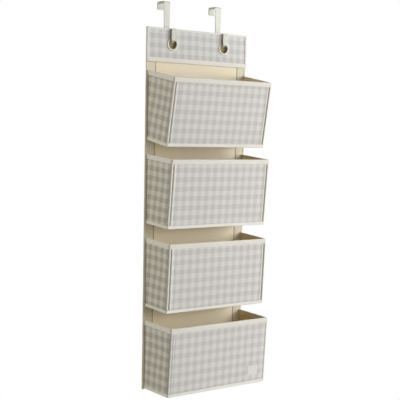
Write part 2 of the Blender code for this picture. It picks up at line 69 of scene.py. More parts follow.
# Header and back sheet. The door is behind them, towards +Y
HALF_WIDTH = 0.175
SHEET_HALF = 0.1739
SHEET_FRONT = -0.0372
SHEET_BACK = -0.0361
SHEET_FOOT = -1.0289
HEADER_TOP = -0.072414
HEADER_FOOT = -0.162914
HEADER_FRONT = -0.0417
COVER_FRONT = -0.0406
BINDING_BACK = -0.0349
HEM_HALF = 0.1682
SEAM_X = 0.143

# Eyelets
EYELET_X = 0.090
EYELET_Z = -0.113414
EYELET_HOLE = 0.0143
EYELET_FRONT = -0.0417
EYELET_BACK = -0.0338
BORE = 0.012
BORE_ROLL = 0.0055
METAL = 0.8 * MM

# Pockets, from the top down: the base's slope and the front's lean in degrees, half the base's
# depth, the height of the heel, the share of its depth that a folded side keeps, how full the
# ridge on the corners is, and how much painted shade darkens its edge
POCKETS = (
    dict(slope=12.1, lean=9.6, half_base=0.04047, heel=-0.367414, keep=0.25, ridge=1.0, edge_shade=0.30),
    dict(slope=6.1, lean=5.0, half_base=0.04431, heel=-0.587414, keep=0.14, ridge=1.0, edge_shade=0.30),
    dict(slope=5.5, lean=3.2, half_base=0.04416, heel=-0.807414, keep=0.14, ridge=1.0, edge_shade=0.30),
    dict(slope=3.6, lean=3.8, half_base=0.04942, heel=-1.027414, keep=0.125, ridge=0.35, edge_shade=0.45),
)
POCKET_HALF = 0.168
BAND_HALF = 0.1691
BAND_INSIDE = 0.1661
BAND_LOW, BAND_HIGH = -0.8 * MM, 6.0 * MM
BAND_CORNER = 1.4 * MM
SLEEVE_OUTSIDE, SLEEVE_INSIDE = 4.9 * MM, 0.3 * MM
SIDE_MEETS_FRONT = -0.9 * MM
BACK_TOP = 0.1825
FRONT_FOOT = -0.0039
FRONT_TOP = 0.1771
MOUTH_BAND = 0.0125
BASE_BAND = 0.0085
BASE_HALF = 0.1669
BASE_LOW, BASE_HIGH = -2.8 * MM, -0.4 * MM
STITCH_INSET = 2 * MM

# Gingham: the repeat of the cloth, and for each panel, in millimetres, where a light stripe lies
# across it, the repeat there, and the same two along it
REPEAT = 0.025
HEADER_CHECKS = (5.8, 25.05, -9.0, 25.2)
FRONT_CHECKS = ((17.1, 24.8, 4.7, 24.9), (15.9, 25.2, 16.8, 24.8),
                (15.6, 25.5, 20.0, 24.9), (4.2, 25.25, 20.0, 25.0))
SIDE_CHECKS = ((13.5, 25.2, 5.2, 25.2), (17.1, 25.2, 8.1, 25.3),
               (17.6, 25.0, 22.6, 24.8), (3.8, 25.2, 8.5, 25.3))


# Mesh tools

def active(obj):
    bpy.ops.object.select_all(action="DESELECT")
    bpy.context.view_layer.objects.active = obj
    obj.select_set(True)


def apply_modifier(obj, kind, **settings):
    """Adds one modifier and applies it."""
    modifier = obj.modifiers.new(kind.title(), kind)
    for key, value in settings.items():
        setattr(modifier, key, value)
    active(obj)
    bpy.ops.object.modifier_apply(modifier=modifier.name)


def new_piece(name, points, faces):
    mesh = bpy.data.meshes.new(name)
    mesh.from_pydata(points.tolist(), [], faces)
    obj = bpy.data.objects.new(name, mesh)
    bpy.context.scene.collection.objects.link(obj)
    return obj


def cloth_grid(name, points, flat, ring=False):
    """A cloth from a grid of points, with its flat map in metres. In a ring the last column
    meets the first."""
    points = np.asarray(points, float)
    rows, columns = points.shape[:2]
    index = np.arange(rows * columns).reshape(rows, columns)
    left = index if ring else index[:, :-1]
    right = np.roll(index, -1, 1) if ring else index[:, 1:]
    faces = np.stack([left[:-1], right[:-1], right[1:], left[1:]], -1).reshape(-1, 4)
    corners = np.stack([flat[:-1, :-1], flat[:-1, 1:], flat[1:, 1:], flat[1:, :-1]], 2)
    obj = new_piece(name, points.reshape(-1, 3), faces.tolist())
    layer = obj.data.uv_layers.new(name="flat")
    layer.data.foreach_set("uv", corners.astype(np.float32).ravel())
    return obj


def write_attribute(obj, name, values):
    """Keeps one number for each point, which a finish reads."""
    values = np.array(values, np.float32).ravel()
    obj.data.attributes.new(name, "FLOAT", "POINT").data.foreach_set("value", values)


def merge_close(obj):
    """Joins points that meet, and takes out the faces that closed up."""
    meeting = 0.03 * MM
    shape = bmesh.new()
    shape.from_mesh(obj.data)
    bmesh.ops.remove_doubles(shape, verts=shape.verts, dist=meeting)
    bmesh.ops.dissolve_degenerate(shape, dist=meeting / 3, edges=shape.edges)
    shape.to_mesh(obj.data)
    shape.free()


def face_outward(obj, reference):
    """Turns the whole cloth over where its face nearest a point outside looks away from it."""
    reference = Vector(reference)
    mesh = obj.data
    nearest = min(mesh.polygons, key=lambda face: (face.center - reference).length)
    if nearest.normal.dot(reference - nearest.center) < 0:
        mesh.flip_normals()


def thicken(obj, thickness, lining=0):
    """Gives a cloth its thickness inward. A lining takes the next material."""
    apply_modifier(obj, "SOLIDIFY", thickness=thickness, offset=-1, use_even_offset=True,
                   material_offset=lining, thickness_clamp=2, use_thickness_angle_clamp=True)


def smooth(obj, degrees=40):
    active(obj)
    bpy.ops.object.shade_smooth_by_angle(angle=math.radians(degrees))


def dress(obj, body, materials=(), nodes=(), squash_by=None):
    """Gives a piece its finish, its body and the nodes that it stands for."""
    if materials:
        obj.data.materials.clear()
        for material in materials:
            obj.data.materials.append(material)
    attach(obj, body)
    if nodes:
        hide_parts(*nodes)
    if squash_by:
        joint, keep = squash_by
        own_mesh(obj)
    return obj


def spread(low, high, step):
    """Even places from low to high, about a step apart."""
    count = max(1, round((high - low) / step))
    return np.linspace(low, high, count + 1)


def inset(path, amounts, limits):
    """Moves a path inside its limits, so that its corners close up as a mitre."""
    moved = np.array(path, float)
    for axis, (low, high) in enumerate(limits):
        least = -math.inf if low is None else low + amounts[axis]
        most = math.inf if high is None else high - amounts[axis]
        if least > most:
            least = most = (low + high) / 2
        moved[:, axis] = np.clip(moved[:, axis], least, most)
    return moved


def lengths_along(points):
    steps = np.linalg.norm(np.diff(points, axis=0), axis=1)
    return np.concatenate([[0], np.cumsum(steps)])


def folded_tape(name, path, profile, limits, place, thickness, ring=False, outside=None):
    """A tape folded over an edge. The path runs along the edge, and each point of the profile is
    (depth, inset a, inset b)."""
    path = np.asarray(path, float)
    grid = []
    for depth, inset_a, inset_b in profile:
        row = inset(path, (inset_a, inset_b), limits)
        grid.append([place(a, b, depth) for a, b in row])
    along = lengths_along(np.vstack([path, path[:1]]) if ring else path)
    across = lengths_along(np.array([(point[0], max(point[1:])) for point in profile]))
    flat = np.stack(np.broadcast_arrays(along[None, :], across[:, None]), -1)
    obj = cloth_grid(name, np.array(grid), flat, ring)
    merge_close(obj)
    face_outward(obj, outside)
    thicken(obj, thickness)
    smooth(obj, 50)
    return obj


# A quarter turn in six steps, as shares of its radius, and how high a tape's leaf swells
QUARTER = [(1 - math.cos(angle), 1 - math.sin(angle))
           for angle in (math.radians(90 * step / 6) for step in range(7))]
BULGE = 0.12 * MM


def u_profile(front, back, front_leaf, back_leaf, shares=(1.0, 1.0), rounding=1.1 * MM):
    """A tape's section over an edge: front leaf, rounded fold and back leaf."""
    out = -1 if front < back else 1
    half = abs(back - front) / 2
    rounding = min(rounding, half)
    section = []
    for share in (1.0, 0.94, 0.8, 0.6, 0.4, 0.25):
        # The sewn edge is pressed in, and the rest of the leaf swells a little
        rise = BULGE * math.sin(math.pi * share) if share < 0.94 else -BULGE * (share - 0.9) * 8
        section.append((front + out * rise, front_leaf * share))
    section += [(front - out * rounding * deep, rounding * near) for deep, near in QUARTER]
    if half - rounding > 0.2 * MM:
        section.append(((front + back) / 2, 0.0))
    section += [(back + out * rounding * deep, rounding * near) for deep, near in QUARTER[::-1]]
    for share in (0.25, 0.4, 0.6, 0.8, 0.94, 1.0):
        if back_leaf * share > rounding:
            rise = BULGE * math.sin(math.pi * share) * 0.5
            section.append((back - out * rise, back_leaf * share))
    return [(depth, amount * shares[0], amount * shares[1]) for depth, amount in section]


# Stitching

STITCH_LENGTH = 2.5 * MM
STITCH_PITCH = 3.2 * MM
THREAD = 0.42 * MM


def stitch_shape():
    """One stitch, a short thread that dips into the cloth at both ends: points along, across, up."""
    sides = 6
    sections = ((-0.5, 0.0, -0.9), (-0.40, 0.75, -0.35), (-0.12, 1.0, 0.25),
                (0.12, 1.0, 0.25), (0.40, 0.75, -0.35), (0.5, 0.0, -0.9))
    points, faces = [], []
    for place, fullness, lift in sections:
        if fullness == 0:
            points.append((place * STITCH_LENGTH, 0, lift * THREAD / 2))
            continue
        for side in range(sides):
            angle = 2 * math.pi * side / sides
            points.append((place * STITCH_LENGTH, math.cos(angle) * fullness * THREAD / 2,
                           (math.sin(angle) * 0.7 * fullness + lift) * THREAD / 2))
    last = len(points) - 1
    for side in range(sides):
        after = (side + 1) % sides
        faces.append((0, 1 + after, 1 + side))
        for ring in range(3):
            a = 1 + ring * sides
            faces.append((a + side, a + after, a + sides + after, a + sides + side))
        a = 1 + 3 * sides
        faces.append((a + side, a + after, last))
    return np.array(points), faces


STITCH_POINTS, STITCH_FACES = stitch_shape()


def stitched_run(points, normals):
    """Frames of the stitches along a line on the cloth: middle, along, across and up."""
    points = np.asarray(points, float)
    normals = np.broadcast_to(np.asarray(normals, float), points.shape)
    along = lengths_along(points)
    count = int(along[-1] / STITCH_PITCH)

    def at(place, values):
        return np.array([np.interp(place, along, values[:, k]) for k in range(3)])

    frames = []
    for place in (np.arange(count) + 0.5) * along[-1] / max(1, count):
        middle, up = at(place, points), at(place, normals)
        forward = at(place + 0.4 * MM, points) - at(place - 0.4 * MM, points)
        forward /= np.linalg.norm(forward)
        up -= forward * (up @ forward)
        up /= np.linalg.norm(up)
        frames.append((middle, forward, np.cross(up, forward), up))
    return frames


def stitching(name, runs, material, body, squash_by=None):
    """All the stitches of one piece, as one mesh."""
    frames = [single for points, normals in runs for single in stitched_run(points, normals)]
    points, faces = [], []
    for number, (middle, forward, across, up) in enumerate(frames):
        turned = forward + across * 0.06 * math.sin(number * 2.4)
        base = number * len(STITCH_POINTS)
        points.append(middle + STITCH_POINTS[:, :1] * turned + STITCH_POINTS[:, 1:2] * across
                      + STITCH_POINTS[:, 2:] * up)
        faces.extend([tuple(base + corner for corner in face) for face in STITCH_FACES])
    obj = new_piece(name, np.vstack(points), faces)
    obj.data.shade_smooth()
    return dress(obj, body, [material], squash_by=squash_by)


# Materials

class Finish:
    """A material under construction, with short ways to add its nodes."""

    def __init__(self, name, roughness, **sockets):
        self.material = bpy.data.materials.new(name)
        self.material.use_nodes = True
        self.tree = self.material.node_tree
        self.shader = self.tree.nodes["Principled BSDF"]
        self.shader.inputs["Roughness"].default_value = roughness
        for key, value in sockets.items():
            self.shader.inputs[key.replace("_", " ")].default_value = value

    def add(self, kind, inputs=None, **settings):
        node = self.tree.nodes.new(kind)
        for key, value in settings.items():
            setattr(node, key, value)
        for key, value in (inputs or {}).items():
            self.feed(node.inputs[key], value)
        return node

    def feed(self, socket, value):
        if isinstance(value, bpy.types.NodeSocket):
            self.tree.links.new(value, socket)
        else:
            socket.default_value = value

    def colour(self, colour):
        tint = self.add("ShaderNodeRGB").outputs[0]
        tint.default_value = (*colour, 1)
        return tint

    def math(self, operation, first, second=0.0):
        return self.add("ShaderNodeMath", {0: first, 1: second}, operation=operation).outputs[0]

    def line(self, value, slope, start):
        """The value times a slope, plus a start."""
        return self.math("ADD", start, self.math("MULTIPLY", value, slope))

    def mix(self, factor, first, second):
        inputs = {0: factor, 6: first, 7: second}
        return self.add("ShaderNodeMix", inputs, data_type="RGBA").outputs[2]

    def blend_values(self, factor, first, second):
        inputs = {0: factor, 2: first, 3: second}
        return self.add("ShaderNodeMix", inputs, data_type="FLOAT").outputs[0]

    def range(self, value, low, high, to_low=0.0, to_high=1.0, interpolation="LINEAR"):
        inputs = {"Value": value, "From Min": low, "From Max": high,
                  "To Min": to_low, "To Max": to_high}
        return self.add("ShaderNodeMapRange", inputs, interpolation_type=interpolation).outputs[0]

    def noise(self, vector, scale, detail=3.0, roughness=0.55):
        inputs = {"Vector": vector, "Scale": scale, "Detail": detail, "Roughness": roughness}
        return self.add("ShaderNodeTexNoise", inputs).outputs[0]

    def flat_map(self):
        flat = self.add("ShaderNodeUVMap", uv_map="flat").outputs[0]
        split = self.add("ShaderNodeSeparateXYZ", {0: flat})
        return split.outputs[0], split.outputs[1]

    def body_place(self):
        return self.add("ShaderNodeTexCoord").outputs["Object"]

    def stretched(self, vector, scale):
        return self.add("ShaderNodeMapping", {"Vector": vector, "Scale": scale}).outputs[0]

    def attribute(self, name):
        return self.add("ShaderNodeAttribute", attribute_name=name).outputs["Fac"]

    def tone(self, colour, value):
        """The colour made lighter or darker by a value about 1."""
        return self.add("ShaderNodeVectorMath", {0: colour, "Scale": value},
                        operation="SCALE").outputs[0]

    def bump(self, height, distance, strength=1.0, normal=None):
        inputs = {"Height": height, "Distance": distance, "Strength": strength}
        if normal is not None:
            inputs["Normal"] = normal
        return self.add("ShaderNodeBump", inputs).outputs[0]

    def finish(self, colour, normal=None, roughness=None):
        self.feed(self.shader.inputs["Base Color"], colour)
        if normal is not None:
            self.feed(self.shader.inputs["Normal"], normal)
        if roughness is not None:
            self.feed(self.shader.inputs["Roughness"], roughness)
        return self.material


def tinted(colour, shares):
    return (*[part * share for part, share in zip(colour, shares)], 1)


def plain_weave(finish, u, v, thread_u, thread_v):
    """Over and under of a plain weave, its height, and a soft unevenness of its yarns."""
    across, along = finish.math("DIVIDE", u, thread_u), finish.math("DIVIDE", v, thread_v)
    warp_yarn, weft_yarn = finish.math("FLOOR", across), finish.math("FLOOR", along)
    over = finish.math("FLOORED_MODULO", finish.math("ADD", warp_yarn, weft_yarn), 2.0)
    warp, weft = (finish.math("ABSOLUTE", finish.math("SINE", finish.math("MULTIPLY", yarns, math.pi)))
                  for yarns in (across, along))
    under = finish.line(finish.blend_values(over, warp, weft), 0.4, 0.6)
    height = finish.math("MULTIPLY", finish.blend_values(over, weft, warp), under)
    slubs = []
    for first, second in ((warp_yarn, finish.math("MULTIPLY", v, 90.0)),
                          (finish.math("MULTIPLY", u, 90.0), weft_yarn)):
        place = finish.add("ShaderNodeCombineXYZ", {0: first, 1: second}).outputs[0]
        slubs.append(finish.noise(place, 0.7, 1))
    return over, height, finish.blend_values(over, slubs[1], slubs[0])


def woven(name, colour, thread, roughness=0.92, slub_tone=0.10, cloud_tone=0.05, bump=0.10,
          checks=None, sheen=0.12, seams=None):
    """A plain woven cloth. With checks, its yarns are dyed in even stripes both ways, which makes
    gingham. With seams, the seam attribute mixes in the first colour above zero (a painted highlight
    on gingham crests, the sheet strip's own tone) and the second below zero (painted shade)."""
    finish = Finish(name, roughness, Sheen_Weight=sheen, Sheen_Roughness=0.6,
                    Specular_IOR_Level=0.25)
    u, v = finish.flat_map()
    over, height, slub = plain_weave(finish, u, v, thread, thread)
    tint = finish.colour(colour)
    if checks:
        stripes = []
        for place in (u, v):
            wave = finish.math("COSINE", finish.math("MULTIPLY", place, 2 * math.pi / REPEAT))
            stripes.append(finish.range(wave, 0.10, -0.10, interpolation="SMOOTHSTEP"))
        coloured = finish.blend_values(over, stripes[1], stripes[0])
        tint = finish.mix(coloured, tint, tinted(colour, checks))
    if seams:
        seam = finish.attribute("seam")
        for shade, end in zip(seams, (1.0, -1.0)):
            tint = finish.mix(finish.range(seam, 0.0, end), tint, (*shade, 1))
    cloud = finish.noise(finish.body_place(), 9.0, 4)
    unevenness = finish.math("ADD", finish.math("MULTIPLY", slub, slub_tone),
                             finish.math("MULTIPLY", cloud, cloud_tone))
    value = finish.math("ADD", 1 - slub_tone / 2 - cloud_tone / 2, unevenness)
    # Painted shade: it is darker between the yarns
    value = finish.math("MULTIPLY", value, finish.line(height, 0.09, 0.94))
    fuzz = finish.noise(finish.body_place(), 2600.0, 2)
    ripple = finish.bump(finish.noise(finish.body_place(), 38.0, 3), 0.6 * MM, 0.5)
    relief = finish.bump(finish.line(fuzz, 0.35, height), bump * MM, 0.8, ripple)
    return finish.finish(finish.tone(tint, value), relief, finish.line(fuzz, 0.1, roughness - 0.05))


def tape_cloth(name, colour):
    """A narrow woven tape, puckered by its stitches and a little soiled where it is handled."""
    finish = Finish(name, 0.85, Sheen_Weight=0.15, Sheen_Roughness=0.5, Specular_IOR_Level=0.3)
    u, v = finish.flat_map()
    over, height, slub = plain_weave(finish, u, v, 0.42 * MM, 0.34 * MM)
    cloud = finish.noise(finish.body_place(), 14.0, 4)
    handled = finish.range(finish.noise(finish.body_place(), 60.0, 2), 0.55, 0.8)
    shade = finish.mix(finish.math("MULTIPLY", handled, 0.12), finish.colour(colour),
                       tinted(colour, (0.86, 0.82, 0.72)))
    unevenness = finish.math("ADD", finish.math("MULTIPLY", slub, 0.07),
                             finish.math("MULTIPLY", cloud, 0.06))
    # Painted shade: the tape is darker between its yarns
    value = finish.math("MULTIPLY", finish.math("ADD", 0.93, unevenness),
                        finish.line(height, 0.07, 0.95))
    pucker = finish.math("SINE", finish.math("MULTIPLY", u, 2 * math.pi / STITCH_PITCH))
    ripple = finish.line(pucker, 0.12, finish.noise(finish.body_place(), 120.0, 2))
    relief = finish.bump(height, 0.08 * MM, 0.8, finish.bump(ripple, 0.35 * MM, 0.6))
    return finish.finish(finish.tone(shade, value), relief, finish.line(cloud, 0.12, 0.80))


def thread_finish(name, colour):
    """Twisted sewing thread."""
    finish = Finish(name, 0.7, Sheen_Weight=0.2)
    strand = finish.add("ShaderNodeTexWave", {"Vector": finish.body_place(), "Scale": 900.0,
                                              "Distortion": 1.5},
                        wave_type="BANDS", bands_direction="DIAGONAL").outputs[1]
    shade = finish.tone(finish.colour(colour), finish.line(strand, 0.12, 0.92))
    return finish.finish(shade, finish.bump(strand, 0.05 * MM, 0.7),
                         finish.line(strand, 0.15, 0.62))


def painted_steel(name, colour, bare_and_shade_tone, wear):
    """Stoved paint on steel: a fine orange peel, rubbed to a dark brown bare tone where the attribute
    says so; on the hooks' long edges that tone is partly a painted shade line.
    """
    finish = Finish(name, 0.38, Coat_Weight=0.15, Coat_Roughness=0.3)
    place = finish.body_place()
    peel = finish.noise(place, 900.0, 2)
    broad = finish.noise(place, 45.0, 3)
    patches = finish.range(finish.noise(place, 260.0, 4, 0.7), 0.40, 0.52)
    patchy = finish.math("MULTIPLY", finish.attribute("wear"), patches)
    amount = finish.math("MULTIPLY", patchy, wear)
    paint = finish.tone(finish.colour(colour), finish.line(broad, 0.10, 0.95))
    height = finish.math("SUBTRACT", peel, finish.math("MULTIPLY", amount, 2.0))
    return finish.finish(finish.mix(amount, paint, (*bare_and_shade_tone, 1)), finish.bump(height, 0.03 * MM, 0.5),
                         finish.line(broad, 0.15, 0.30))


def old_brass(name, colour):
    """Plated metal inside the eyelets, brushed round the bore by the straps."""
    finish = Finish(name, 0.35, Metallic=0.9)
    place = finish.body_place()
    brushed = finish.noise(finish.stretched(place, (1, 14, 1)), 420.0, 3)
    tarnish = finish.noise(place, 160.0, 4)
    shade = finish.mix(finish.range(tarnish, 0.45, 0.7), finish.colour(colour),
                       tinted(colour, (0.5, 0.46, 0.4)))
    return finish.finish(shade, finish.bump(brushed, 0.04 * MM, 0.5),
                         finish.line(tarnish, 0.3, 0.38))


def pressed_board(name, colour):
    """Grey stiffening board, with its fibres and specks."""
    finish = Finish(name, 0.9)
    place = finish.body_place()
    fibre = finish.noise(finish.stretched(place, (1, 1, 5)), 500.0, 4)
    specks = finish.range(finish.noise(place, 1400.0, 1), 0.68, 0.74)
    pulp = finish.tone(finish.colour(colour), finish.line(fibre, 0.3, 0.85))
    shade = finish.mix(finish.math("MULTIPLY", specks, 0.5), pulp, (0.12, 0.10, 0.08, 1))
    return finish.finish(shade, finish.bump(fibre, 0.1 * MM, 0.6),
                         finish.math("SUBTRACT", 1.0, finish.math("MULTIPLY", fibre, 0.2)))


# Seam colours: a painted highlight on the gingham's crests with painted shade in its grooves; and the
# back sheet's strip past its seam in its own tone, with painted shade in the seam's groove
CREST_HIGHLIGHT_AND_GROOVE_SHADE = ((0.86, 0.83, 0.74), (0.30, 0.28, 0.22))
STRIP_TONE_AND_SEAM_SHADE = ((0.75, 0.70, 0.56), (0.36, 0.29, 0.16))
GINGHAM = woven("gingham_cloth", (0.670, 0.655, 0.630), 0.50 * MM,
                checks=(0.80, 0.785, 0.775), seams=CREST_HIGHLIGHT_AND_GROOVE_SHADE)
# Painted light: a lighter, more neutral copy of the same gingham for the header, which stands in for the
# stronger light it gets
GINGHAM_HEADER_LIT_COPY = woven("gingham_header_cloth", (0.715, 0.718, 0.702), 0.50 * MM,
                       checks=(0.80, 0.785, 0.775))
# Painted light: a copy of the same gingham for the left sides, warmer, lighter and with darker checks,
# tuned to how they look in shade
GINGHAM_SHADED_SIDE_COPY = woven("gingham_side_cloth", (0.815, 0.77, 0.625), 0.50 * MM,
                     checks=(0.62, 0.615, 0.61), seams=CREST_HIGHLIGHT_AND_GROOVE_SHADE)
# Cream lining, partly its own colour and partly painted warm shade from light bounced round inside the
# pockets
LINING = woven("cream_lining", (0.88, 0.69, 0.33), 0.45 * MM)
SHEET_FINISH = woven("cream_sheet", (0.87, 0.80, 0.62), 0.48 * MM, cloud_tone=0.06,
                     seams=STRIP_TONE_AND_SEAM_SHADE)
BASE_FINISH = woven("cream_base_cloth", (0.88, 0.74, 0.43), 0.48 * MM)
TAPE_FINISH = tape_cloth("binding_tape", (0.80, 0.782, 0.722))
# Painted shade: a darker copy of the binding tape for the pockets' mouth bands
MOUTH_TAPE_SHADED_COPY = tape_cloth("pocket_tape", (0.74, 0.715, 0.645))
# Painted light: a lighter copy of the binding tape for the left sides' tapes, which face away from the
# key light
LEFT_SIDE_TAPE_LIT_COPY = tape_cloth("side_tape", (0.93, 0.88, 0.74))
# The inner leaf of the side tapes: cream, partly its own colour and partly painted warm shade inside the
# pockets
INNER_TAPE_FINISH = tape_cloth("side_tape_inside", (0.88, 0.75, 0.48))
# Painted shade: a darker, warmer copy of the binding tape for the back sheet's edges, standing in for
# the pockets' shadow there
EDGE_TAPE_SHADED_COPY = tape_cloth("sheet_edge_tape", (0.80, 0.73, 0.57))
THREAD_FINISH = thread_finish("sewing_thread", (0.84, 0.80, 0.70))
SEAM_THREAD_FINISH = thread_finish("seam_thread", (0.50, 0.43, 0.28))
LABEL_FINISH = woven("label_satin", (0.68, 0.665, 0.61), 0.22 * MM, 0.7, 0.05, 0.03, 0.04, sheen=0.3)
PAINT = painted_steel("cream_paint", (0.62, 0.625, 0.545), (0.30, 0.24, 0.15), 0.85)
ENAMEL = painted_steel("eyelet_enamel", (0.66, 0.63, 0.55), (0.34, 0.26, 0.14), 0.8)
BRASS = old_brass("eyelet_brass", (0.15, 0.11, 0.055))
# Painted shade: dark brown cloth for the discs that fill the eyelets' holes with the look of shade
HOLE_SHADE_CLOTH = woven("eyelet_backing", (0.32, 0.25, 0.13), 0.40 * MM, 0.95)
BOARD = pressed_board("stiffener_board", (0.38, 0.35, 0.30))


def checks_map(places, checks):
    """The flat map of a gingham panel: a light stripe at its zero, and the cloth's own repeat."""
    light_u, repeat_u, light_v, repeat_v = (value * MM for value in checks)
    flat = np.empty(places.shape)
    flat[..., 0] = (places[..., 0] - light_u) * REPEAT / repeat_u
    flat[..., 1] = (places[..., 1] - light_v) * REPEAT / repeat_v
    return flat


def waves(a, b, seed, size):
    """A soft unevenness from 0 to 1, the same on every run."""
    total = np.zeros(np.broadcast(a, b).shape)
    for number in range(1, 5):
        angle = seed * 1.7 + number * 2.399
        reach = size / number ** 0.8
        along = a * math.cos(angle) + b * math.sin(angle)
        total = total + np.sin(along * 2 * math.pi / reach + seed + number) / number
    return np.clip(total / 4.2 + 0.5, 0, 1)


# Header and back sheet

def header_place(a, b, depth):
    return (a, depth, b)


def cut_eyelet_holes(obj):
    """Cuts both eyelets' holes through a sheet with cylinders, which are then removed."""
    for side in (-1, 1):
        bpy.ops.object.select_all(action="DESELECT")
        bpy.ops.mesh.primitive_cylinder_add(vertices=64, radius=EYELET_HOLE, depth=0.02,
                                            location=(side * EYELET_X, SHEET_FRONT, EYELET_Z),
                                            rotation=(math.pi / 2, 0, 0))
        cutter = bpy.context.active_object
        bpy.ops.object.transform_apply(location=True, rotation=True, scale=True)
        apply_modifier(obj, "BOOLEAN", object=cutter, operation="DIFFERENCE", solver="EXACT")
        bpy.data.objects.remove(cutter)


def header_cloth():
    """The gingham front of the header, drawn in a little round the eyelets."""
    draw_start, draw_end = 0.0165, 0.0305
    xs = spread(-SHEET_HALF, SHEET_HALF, HEADER_STEP)
    zs = spread(HEADER_FOOT + 1.1 * MM, HEADER_TOP - 1.1 * MM, HEADER_STEP)
    x, z = np.meshgrid(xs, zs)
    y = COVER_FRONT - 0.25 * MM * waves(x, z, 3.0, 0.09) + 0.12 * MM
    for side in (-1, 1):
        away = np.hypot(x - side * EYELET_X, z - EYELET_Z)
        angle = np.arctan2(z - EYELET_Z, x - side * EYELET_X)
        draw = 1 - np.clip((away - draw_start) / 0.014, 0, 1)
        drawn = y + draw * (0.12 + 0.10 * np.sin(7 * angle)) * MM
        y = np.where(away < draw_end, drawn, y)
    flat = checks_map(np.stack([x, z - HEADER_TOP], -1), HEADER_CHECKS)
    obj = cloth_grid("header_cloth", np.stack([x, y, z], -1), flat)
    face_outward(obj, (0, -1, -0.12))
    thicken(obj, CLOTH)
    cut_eyelet_holes(obj)
    smooth(obj)
    dress(obj, "sheet", [GINGHAM_HEADER_LIT_COPY], ["header_cover"])


def header_tape():
    """The binding over the header's top and down its sides, round its corners in a small curve."""
    corner = 2.2 * MM
    sides = spread(HEADER_FOOT + 0.5 * MM, HEADER_TOP, TAPE_STEP)
    path = [(-HALF_WIDTH, z) for z in sides]
    path += [(x, HEADER_TOP) for x in spread(-HALF_WIDTH, HALF_WIDTH, TAPE_STEP)[1:]]
    path += [(HALF_WIDTH, z) for z in sides[::-1][1:]]
    rounded = []
    for x, z in path:
        past_x = max(0, abs(x) - (HALF_WIDTH - corner))
        past_z = max(0, z - (HEADER_TOP - corner))
        if past_x > 0 and past_z > 0:
            scale = corner / max(math.hypot(past_x, past_z), corner)
            x = math.copysign(HALF_WIDTH - corner + past_x * scale, x)
            z = HEADER_TOP - corner + past_z * scale
        rounded.append((x, z))
    profile = u_profile(HEADER_FRONT + 0.15 * MM, BINDING_BACK, 6.5 * MM, 6.5 * MM, shares=(1.0, 0.77))
    limits = ((-HALF_WIDTH, HALF_WIDTH), (None, HEADER_TOP))
    obj = folded_tape("header_binding_tape", rounded, profile, limits, header_place, TAPE,
                      outside=(0, -0.5, HEADER_TOP))
    dress(obj, "sheet", [TAPE_FINISH], ["header_binding"])
    line = inset(rounded, (5.1 * MM, 3.7 * MM), limits)
    runs = [([header_place(a, b, depth) for a, b in line], up)
            for depth, up in ((HEADER_FRONT + 0.05 * MM, (0, -1, 0)), (BINDING_BACK, (0, 1, 0)))]
    threads = stitching("header_binding_stitches", runs, THREAD_FINISH, "sheet")


def header_hem():
    """The band folded over the header's lower edge."""
    path = [(x, HEADER_FOOT) for x in spread(-HEM_HALF, HEM_HALF, TAPE_STEP)]
    profile = u_profile(HEADER_FRONT + 0.1 * MM, SHEET_FRONT - GAP, 11.5 * MM, 11.0 * MM,
                        rounding=1.3 * MM)
    limits = ((None, None), (HEADER_FOOT, None))
    obj = folded_tape("header_hem_band", path, profile, limits, header_place, TAPE,
                      outside=(0, -0.5, HEADER_FOOT))
    dress(obj, "sheet", [TAPE_FINISH], ["header_hem"])
    line = [(x, HEADER_FRONT + 0.05 * MM, HEADER_FOOT + 9.6 * MM)
            for x in spread(-HEM_HALF, HEM_HALF, CLOTH_STEP)]
    threads = stitching("header_hem_stitches", [(line, (0, -1, 0))], THREAD_FINISH, "sheet")


